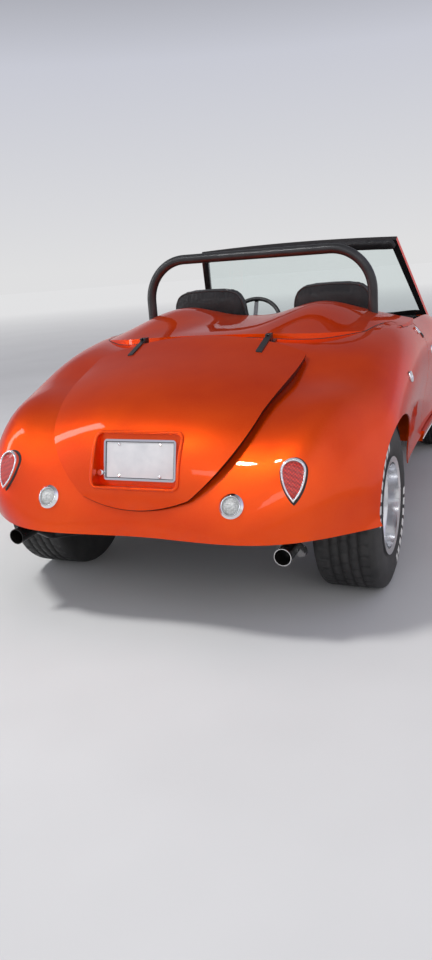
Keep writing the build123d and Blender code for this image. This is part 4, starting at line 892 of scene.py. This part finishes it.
def teardrop(width, height, steps=14):
    """The tail lamp's outline: a half circle above and a point below."""
    r = width / 2
    low = r - height
    turns = [pi * n / steps for n in range(steps + 1)]
    top = [(r * cos(turn), r * sin(turn)) for turn in turns]
    left = arc_points((-r, 0), (-0.72 * r, 0.55 * low), (0, low), steps)
    points = top + left + [(-u, v) for u, v in reversed(left[:-1])]
    return [(u, v + height / 2 - r) for u, v in points]


def make_tail_lamp_trim(side, word):
    """A rounded bright bead on the lamp's rim, and a black gasket under it."""
    place, normal = hit("rear_body", (side * TAIL_LAMP[0], 3, TAIL_LAMP[1]), (0, -1, 0))
    across = Vector((0, 0, 1)).cross(normal).normalized()
    upward = normal.cross(across)

    def over(u, v, height):
        """A point over the skin round the lamp's middle."""
        return place + across * u + upward * v + normal * height

    line = [over(u, v, TAIL_RISE) for u, v in teardrop(TAIL_SIZE[0] - 0.008, TAIL_SIZE[1] - 0.012)]
    tube_piece("tail_bead_" + word, line, 0.0040, "chrome", closed=True)
    outline = teardrop(TAIL_SIZE[0] + 0.004, TAIL_SIZE[1] + 0.006)
    line = [hit("rear_body", over(u, v, 0.2), -normal)[0] for u, v in outline]
    tube_piece("tail_gasket_" + word, line, 0.0038, "trim_black", closed=True)


# Door cards: the recess in the door's inner face, the grid and the round edge
CARD_Y, CARD_Z, CARD_X = (-0.444, 0.246), (0.518, 0.832), 0.7995
CARD_GRID = (150, 40)
CARD_CROWN, CARD_EDGE = 0.014, 0.03
# Their pleats: pitch, width and depth. The seam round them, from the edge
CARD_PLEATS = (0.046, 0.004, 0.005)
CARD_SEAM, CARD_SEAM_WIDTH, CARD_SEAM_DEPTH = 0.045, 0.004, 0.004


def make_door_card(side, word):
    """A pleated vinyl panel in the recess of a door's inner face."""
    ny, nz = CARD_GRID
    vertices, faces = [], []
    for i in range(ny + 1):
        y = spread(CARD_Y, i, ny)
        for j in range(nz + 1):
            z = spread(CARD_Z, j, nz)
            edge = min(y - CARD_Y[0], CARD_Y[1] - y, z - CARD_Z[0], CARD_Z[1] - z)
            crown = CARD_CROWN * sqrt(1 - (1 - min(1.0, edge / CARD_EDGE)) ** 2)
            pleat = groove(y, *CARD_PLEATS) * (edge > CARD_SEAM)
            seam = CARD_SEAM_DEPTH * bell(edge - CARD_SEAM, CARD_SEAM_WIDTH)
            vertices.append((side * (CARD_X - max(0.0, crown - pleat - seam)), y, z))
    for i in range(ny):
        for j in range(nz):
            a = i * (nz + 1) + j
            faces.append((a, a + nz + 1, a + nz + 2, a + 1))
    card = new_piece("door_card_" + word, vertices, faces, "black_vinyl", "door_" + word)


# Dashboard's roll, and where the dashboard's top is measured
DASH_X = (-0.672, 0.672)
DASH_PROBE_Y, DASH_ROLL_Y = -0.565, -0.562
DASH_ROLL_RADIUS, DASH_ROLL_SINK = 0.016, 0.006


def make_dash_roll():
    """A padded roll along the dashboard's top edge."""
    line = []
    for n in range(49):
        x = spread(DASH_X, n, 48)
        top, _ = hit("dashboard", (x, DASH_PROBE_Y, 2.0), (0, 0, -1))
        line.append((x, DASH_ROLL_Y, top.z - DASH_ROLL_SINK))
    tube_piece("dash_roll", line, DASH_ROLL_RADIUS, "black_vinyl")


# The plate pocket's lip: half its width and height, and its corners' radius
LIP_HALF, LIP_CORNER = (0.1855, 0.108), 0.024
LIP_RADIUS, LIP_SINK = 0.0065, 0.0025
# Plate screws: their places either side of the middle
SCREW_U, SCREW_V = 0.089, 0.062
SCREW_HEIGHT, SCREW_RADIUS = 0.0083, 0.006


def over_pocket(u, v, height):
    """A point over the plate pocket's floor."""
    return POCKET_FLOOR - Vector((u, 0, 0)) + POCKET_RISE * v + POCKET_NORMAL * height


def rounded_rectangle(half_u, half_v, radius, steps=8, pieces=14):
    """A rectangle with round corners of so many steps, and straight sides of so many pieces."""
    points = []
    for corner, (su, sv) in enumerate(((1, 1), (-1, 1), (-1, -1), (1, -1))):
        u, v = su * (half_u - radius), sv * (half_v - radius)
        for n in range(steps + 1):
            turn = pi / 2 * (corner + n / steps)
            points.append((u + radius * cos(turn), v + radius * sin(turn)))
        start_u, start_v = points[-1]
        run_u, run_v = (0, -2 * v) if corner % 2 else (-2 * u, 0)
        points += [(start_u + run_u * k / pieces, start_v + run_v * k / pieces) for k in range(1, pieces)]
    return points


def make_pocket_lip():
    """The rolled lip round the plate pocket, in body colour."""
    line = []
    for u, v in rounded_rectangle(*LIP_HALF, LIP_CORNER):
        place, _ = hit("boot_lid", over_pocket(u, v, 0.3), -POCKET_NORMAL)
        line.append(place - POCKET_NORMAL * LIP_SINK)
    tube_piece("pocket_lip", line, LIP_RADIUS, "body_paint", "boot_lid", closed=True)


def make_plate_screws():
    """Four domed screw heads, each with a slot."""
    scales = (1.0, 1.0, 0.86, 0.55, 0.2)
    rises = (0.0, 0.25, 0.48, 0.66, 0.72)
    sized = [(SCREW_RADIUS * scale, SCREW_RADIUS * rise) for scale, rise in zip(scales, rises)]

    def slot_dip(row, turn):
        """The slot: a dip along one line across the dome."""
        inside = scales[row] < 0.9 and abs(sin(turn) * scales[row]) < 0.2
        return -0.25 * SCREW_RADIUS * inside

    places = [(u, v) for v in (SCREW_V, -SCREW_V) for u in (-SCREW_U, SCREW_U)]
    for n, (u, v) in enumerate(places):
        place = over_pocket(u, v, SCREW_HEIGHT)
        turned(f"plate_screw_{n}", sized, place, POCKET_NORMAL, "chrome", "boot_lid", 20, slot_dip)


# Instruments in the dashboard's face: x, z and radius, and the bezel's width
DASH_FACE_Y = -0.5495
DIALS = [(0.300, 0.885, 0.052), (0.190, 0.885, 0.036), (0.410, 0.885, 0.036),
         (0.0, 0.890, 0.030), (-0.090, 0.890, 0.030)]
BEZEL = 0.007
# Their sweep from upright, in degrees, and the ticks on a large and on a small dial
DIAL_SWEEP = (-130, 130)
DIAL_TICKS = (25, 13)


def pointing(degrees):
    """The way a dial's hand points when turned that far from upright, and the direction across it."""
    turn = radians(degrees)
    return Vector((-sin(turn), 0, cos(turn))), Vector((cos(turn), 0, sin(turn)))


def make_dials():
    """Chrome bezels, black dial faces with plain white ticks, and red needles."""
    for number, (x, z, radius) in enumerate(DIALS):
        place = (x, DASH_FACE_Y, z)
        inner = radius - BEZEL
        rows = [(radius, 0.0), (radius, 0.004), (radius - 0.002, 0.006), (radius - 0.006, 0.006),
                (inner, 0.002)]
        turned(f"dial_bezel_{number}", rows, place, (0, 1, 0), "chrome")
        rows = [(inner, 0.0), (inner, 0.0015), (inner * 0.2, 0.0018)]
        turned(f"dial_face_{number}", rows, place, (0, 1, 0), "trim_black")
        vertices, faces = [], []
        count = DIAL_TICKS[0] if radius > 0.04 else DIAL_TICKS[1]
        centre = Vector((x, DASH_FACE_Y + 0.0022, z))
        for tick in range(count):
            out, across = pointing(spread(DIAL_SWEEP, tick, count - 1))
            reach, wide = (0.82, 0.0007) if tick % 4 else (0.70, 0.0011)
            for r, s in ((reach, -1), (reach, 1), (0.95, 1), (0.95, -1)):
                vertices.append(centre + out * inner * r + across * wide * s)
            faces.append(tuple(range(4 * tick, 4 * tick + 4)))
        new_piece(f"dial_ticks_{number}", vertices, faces, "mark_white")
        out, across = pointing(-100 + 37 * number)
        centre = Vector((x, DASH_FACE_Y + 0.003, z))
        needle = [centre - across * 0.0015, centre + across * 0.0015, centre + out * inner * 0.85]
        new_piece(f"dial_needle_{number}", needle, [(0, 1, 2)], "red_lens")


# Small fittings on both flanks: a black socket by the door's shut line, and the door's handle
SOCKET_Y, SOCKET_Z = 0.432, 0.955
HANDLE_Y, HANDLE_Z = 0.255, 0.860
# The grip, ahead of the button
GRIP_START, GRIP_LENGTH, GRIP_BOW, GRIP_RADIUS = 0.030, 0.13, 0.022, 0.0075


def make_flank_fittings():
    """On each side a socket, and a door handle with its push button."""
    for side, word in SIDES:
        place, normal = flank("rear_body", side, SOCKET_Y, SOCKET_Z)
        rows = [(0.015, -0.004), (0.015, 0.003), (0.012, 0.0045), (0.008, 0.003), (0.006, -0.004)]
        turned("socket_" + word, rows, place, normal, "black_satin")
        body = "door_" + word
        place, normal = flank(body, side, HANDLE_Y, HANDLE_Z)
        rows = [(0.022, -0.004), (0.022, 0.002), (0.018, 0.005), (0.010, 0.005), (0.009, 0.016),
                (0.005, 0.018)]
        turned("door_button_" + word, rows, place, normal, "chrome", body)
        line = []
        for n in range(13):
            along = n / 12
            place, normal = flank(body, side, HANDLE_Y - GRIP_START - GRIP_LENGTH * along, HANDLE_Z)
            line.append(place + normal * (0.002 + GRIP_BOW * sin(pi * along) ** 0.6))
        tube_piece("door_handle_" + word, line, GRIP_RADIUS, "chrome", body)


# Sill trims: their ends and height, the radius, and the sink into the sill
TRIM_Y, TRIM_Z = (-0.552, 0.398), 0.404
TRIM_RADIUS, TRIM_SINK = 0.004, 0.001


def make_sill_trims():
    """A thin bright strip along each sill."""
    for side, word in SIDES:
        line = []
        for n in range(21):
            place, normal = flank("rockers", side, spread(TRIM_Y, n, 20), TRIM_Z)
            line.append(place - normal * TRIM_SINK)
        tube_piece("sill_trim_" + word, line, TRIM_RADIUS, "chrome")


# Round lamps: name, CAD node under them, x and z on the skin, radius, rim's height, way they face
ROUND_LAMPS = [
    ("reversing", "rear_body", 0.394, 0.532, 0.0475, 0.014, 1),
    ("head", "front_body", 0.610, 0.690, 0.095, 0.022, -1),
    ("parking", "front_body", 0.600, 0.545, 0.032, 0.010, -1),
]
LAMP_BORE = 0.82
# Lenses: rows from rim to middle, and flutes with the share of the rows that they end at
LENS_ROWS, LENS_FLUTES, FLUTES_END = 22, 28, 0.77
FLUTE_HEIGHT, RING_HEIGHT = 0.0012, 0.0009


def fluted_dome(name, place, along, radius, low, high):
    """A domed lens standing from low to high along its axis, with radial flutes and rings."""
    rows = []
    for k in range(LENS_ROWS + 1):
        t = k / LENS_ROWS
        ring = RING_HEIGHT * sin(t * 30) * (t > 0.15)
        height = low + (high - low) * sin(pi / 2 * t)
        rows.append((radius * cos(pi / 2 * t), height + ring))

    def flute(row, turn):
        """How far a flute lifts a point."""
        t = row / LENS_ROWS
        fade = sin(pi * min(1.0, t * 1.3)) * (t < FLUTES_END)
        return FLUTE_HEIGHT * cos(LENS_FLUTES * turn) * fade

    return turned(name, rows, place, along, "clear_lens", count=LENS_FLUTES * 4, relief=flute,
                  foot=True, top=False)


def make_round_lamps():
    """Fluted lenses in place of the plain ones, and a second bright ring inside each rim."""
    for name, node, x, z, radius, height, direction in ROUND_LAMPS:
        for side, word in SIDES:
            place, normal = hit(node, (side * x, 3 * direction, z), (0, -direction, 0))
            bore = radius * LAMP_BORE
            lens = fluted_dome(f"{name}_lens_{word}", place, normal, bore - 0.0045, 0.0006, height * 1.35)
            if (name, word) == ("reversing", "left"):
                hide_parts("clear_lenses")
            rows = [(bore - 0.0006, 0.0004), (bore - 0.0006, height), (bore - 0.002, height + 0.0022),
                    (bore - 0.0045, height + 0.0014), (bore - 0.0062, height * 0.55)]
            turned(f"{name}_collar_{word}", rows, place, normal, "chrome", count=56, top=False)


# Header roll: half depth and half height of its section, and how far its ends are rounded
ROLL_HALF = (0.0185, 0.029)
ROLL_END, ROLL_PROBE_IN = 0.030, 0.012
ROLL_ROWS, ROLL_COUNT = 150, 40
# How square the section is, how far it stands off the pad's middle, and the sewn seam
ROLL_POWER = 0.8
ROLL_OUT, ROLL_UP = 0.0015, 0.006
ROLL_SEAM_TURN, ROLL_SEAM_WIDTH, ROLL_SEAM_DEPTH = 2.5, 0.10, 0.09
SCREEN_UP = Vector((0.0, 0.600, 0.800))
SCREEN_OUT = Vector((0.0, 0.800, -0.600))


def roll_centre(x, guess):
    """The middle of the header pad's CAD section at x."""
    y, z = guess
    for _ in range(3):
        top, _ = hit("header_pad", (x, y, 2.0), (0, 0, -1))
        bottom, _ = hit("header_pad", (x, y, 0.5), (0, 0, 1))
        z = (top.z + bottom.z) / 2
        back, _ = hit("header_pad", (x, 1.0, z), (0, -1, 0))
        front, _ = hit("header_pad", (x, -1.0, z), (0, 1, 0))
        y = (back.y + front.y) / 2
    return Vector((x, y, z))


def squared(value):
    """A sine or cosine pushed outwards, for a section between round and square."""
    return copysign(abs(value) ** ROLL_POWER, value)


def make_header_roll():
    """The padded vinyl roll on the windscreen's header: slack folds, a sewn seam and round ends."""
    low, high = (Vector(c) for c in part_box("header_pad"))
    half = (high.x - low.x) / 2
    last = half - ROLL_PROBE_IN
    middle = roll_centre(0.0, ((low.y + high.y) / 2, (low.z + high.z) / 2))
    edge = roll_centre(last, (middle.y, middle.z - 0.01))
    vertices = []
    for k in range(ROLL_ROWS + 1):
        x = spread((-half, half), k, ROLL_ROWS)
        centre = middle + (edge - middle) * (x / last) ** 2
        centre.x = x
        inset = max(0.0, abs(x) - (half - ROLL_END)) / ROLL_END
        shrink = sqrt(max(0.0, 1 - inset ** 2)) * 0.97 + 0.03
        fold = 0.0011 * sin(x * 61 + 0.7 * sin(x * 23)) + 0.0007 * sin(x * 143 + 1.1)
        for n in range(ROLL_COUNT):
            turn = 2 * pi * n / ROLL_COUNT
            out = SCREEN_OUT * (squared(cos(turn)) * ROLL_HALF[0] + ROLL_OUT)
            up = SCREEN_UP * (squared(sin(turn)) * ROLL_HALF[1] + ROLL_UP)
            seam = ROLL_SEAM_DEPTH * bell(turn - ROLL_SEAM_TURN, ROLL_SEAM_WIDTH)
            slack = 1 + fold / ROLL_HALF[0] * (0.4 + 0.6 * sin(turn)) - seam
            vertices.append(centre + (out + up) * shrink * slack)
    faces = ring_faces(ROLL_ROWS + 1, ROLL_COUNT, foot=True)
    roll = new_piece("header_roll", vertices, faces, "black_vinyl")
    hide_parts("header_pad")


paint_nodes()
for side, word in SIDES:
    make_seam_fill(side, word)
make_fairing_seam()
for side, word in SIDES:
    make_tail_lamp_trim(side, word)
    make_door_card(side, word)
make_dash_roll()
make_pocket_lip()
make_plate_screws()
make_dials()
make_flank_fittings()
make_sill_trims()
make_round_lamps()
make_header_roll()
for corner in ("front_left", "front_right", "rear_left", "rear_right"):
    make_tyre(corner)
for side, word in SIDES:
    make_seat(side, word)
make_camera()
make_stage()
bpy.context.scene.view_settings.view_transform = "Standard"
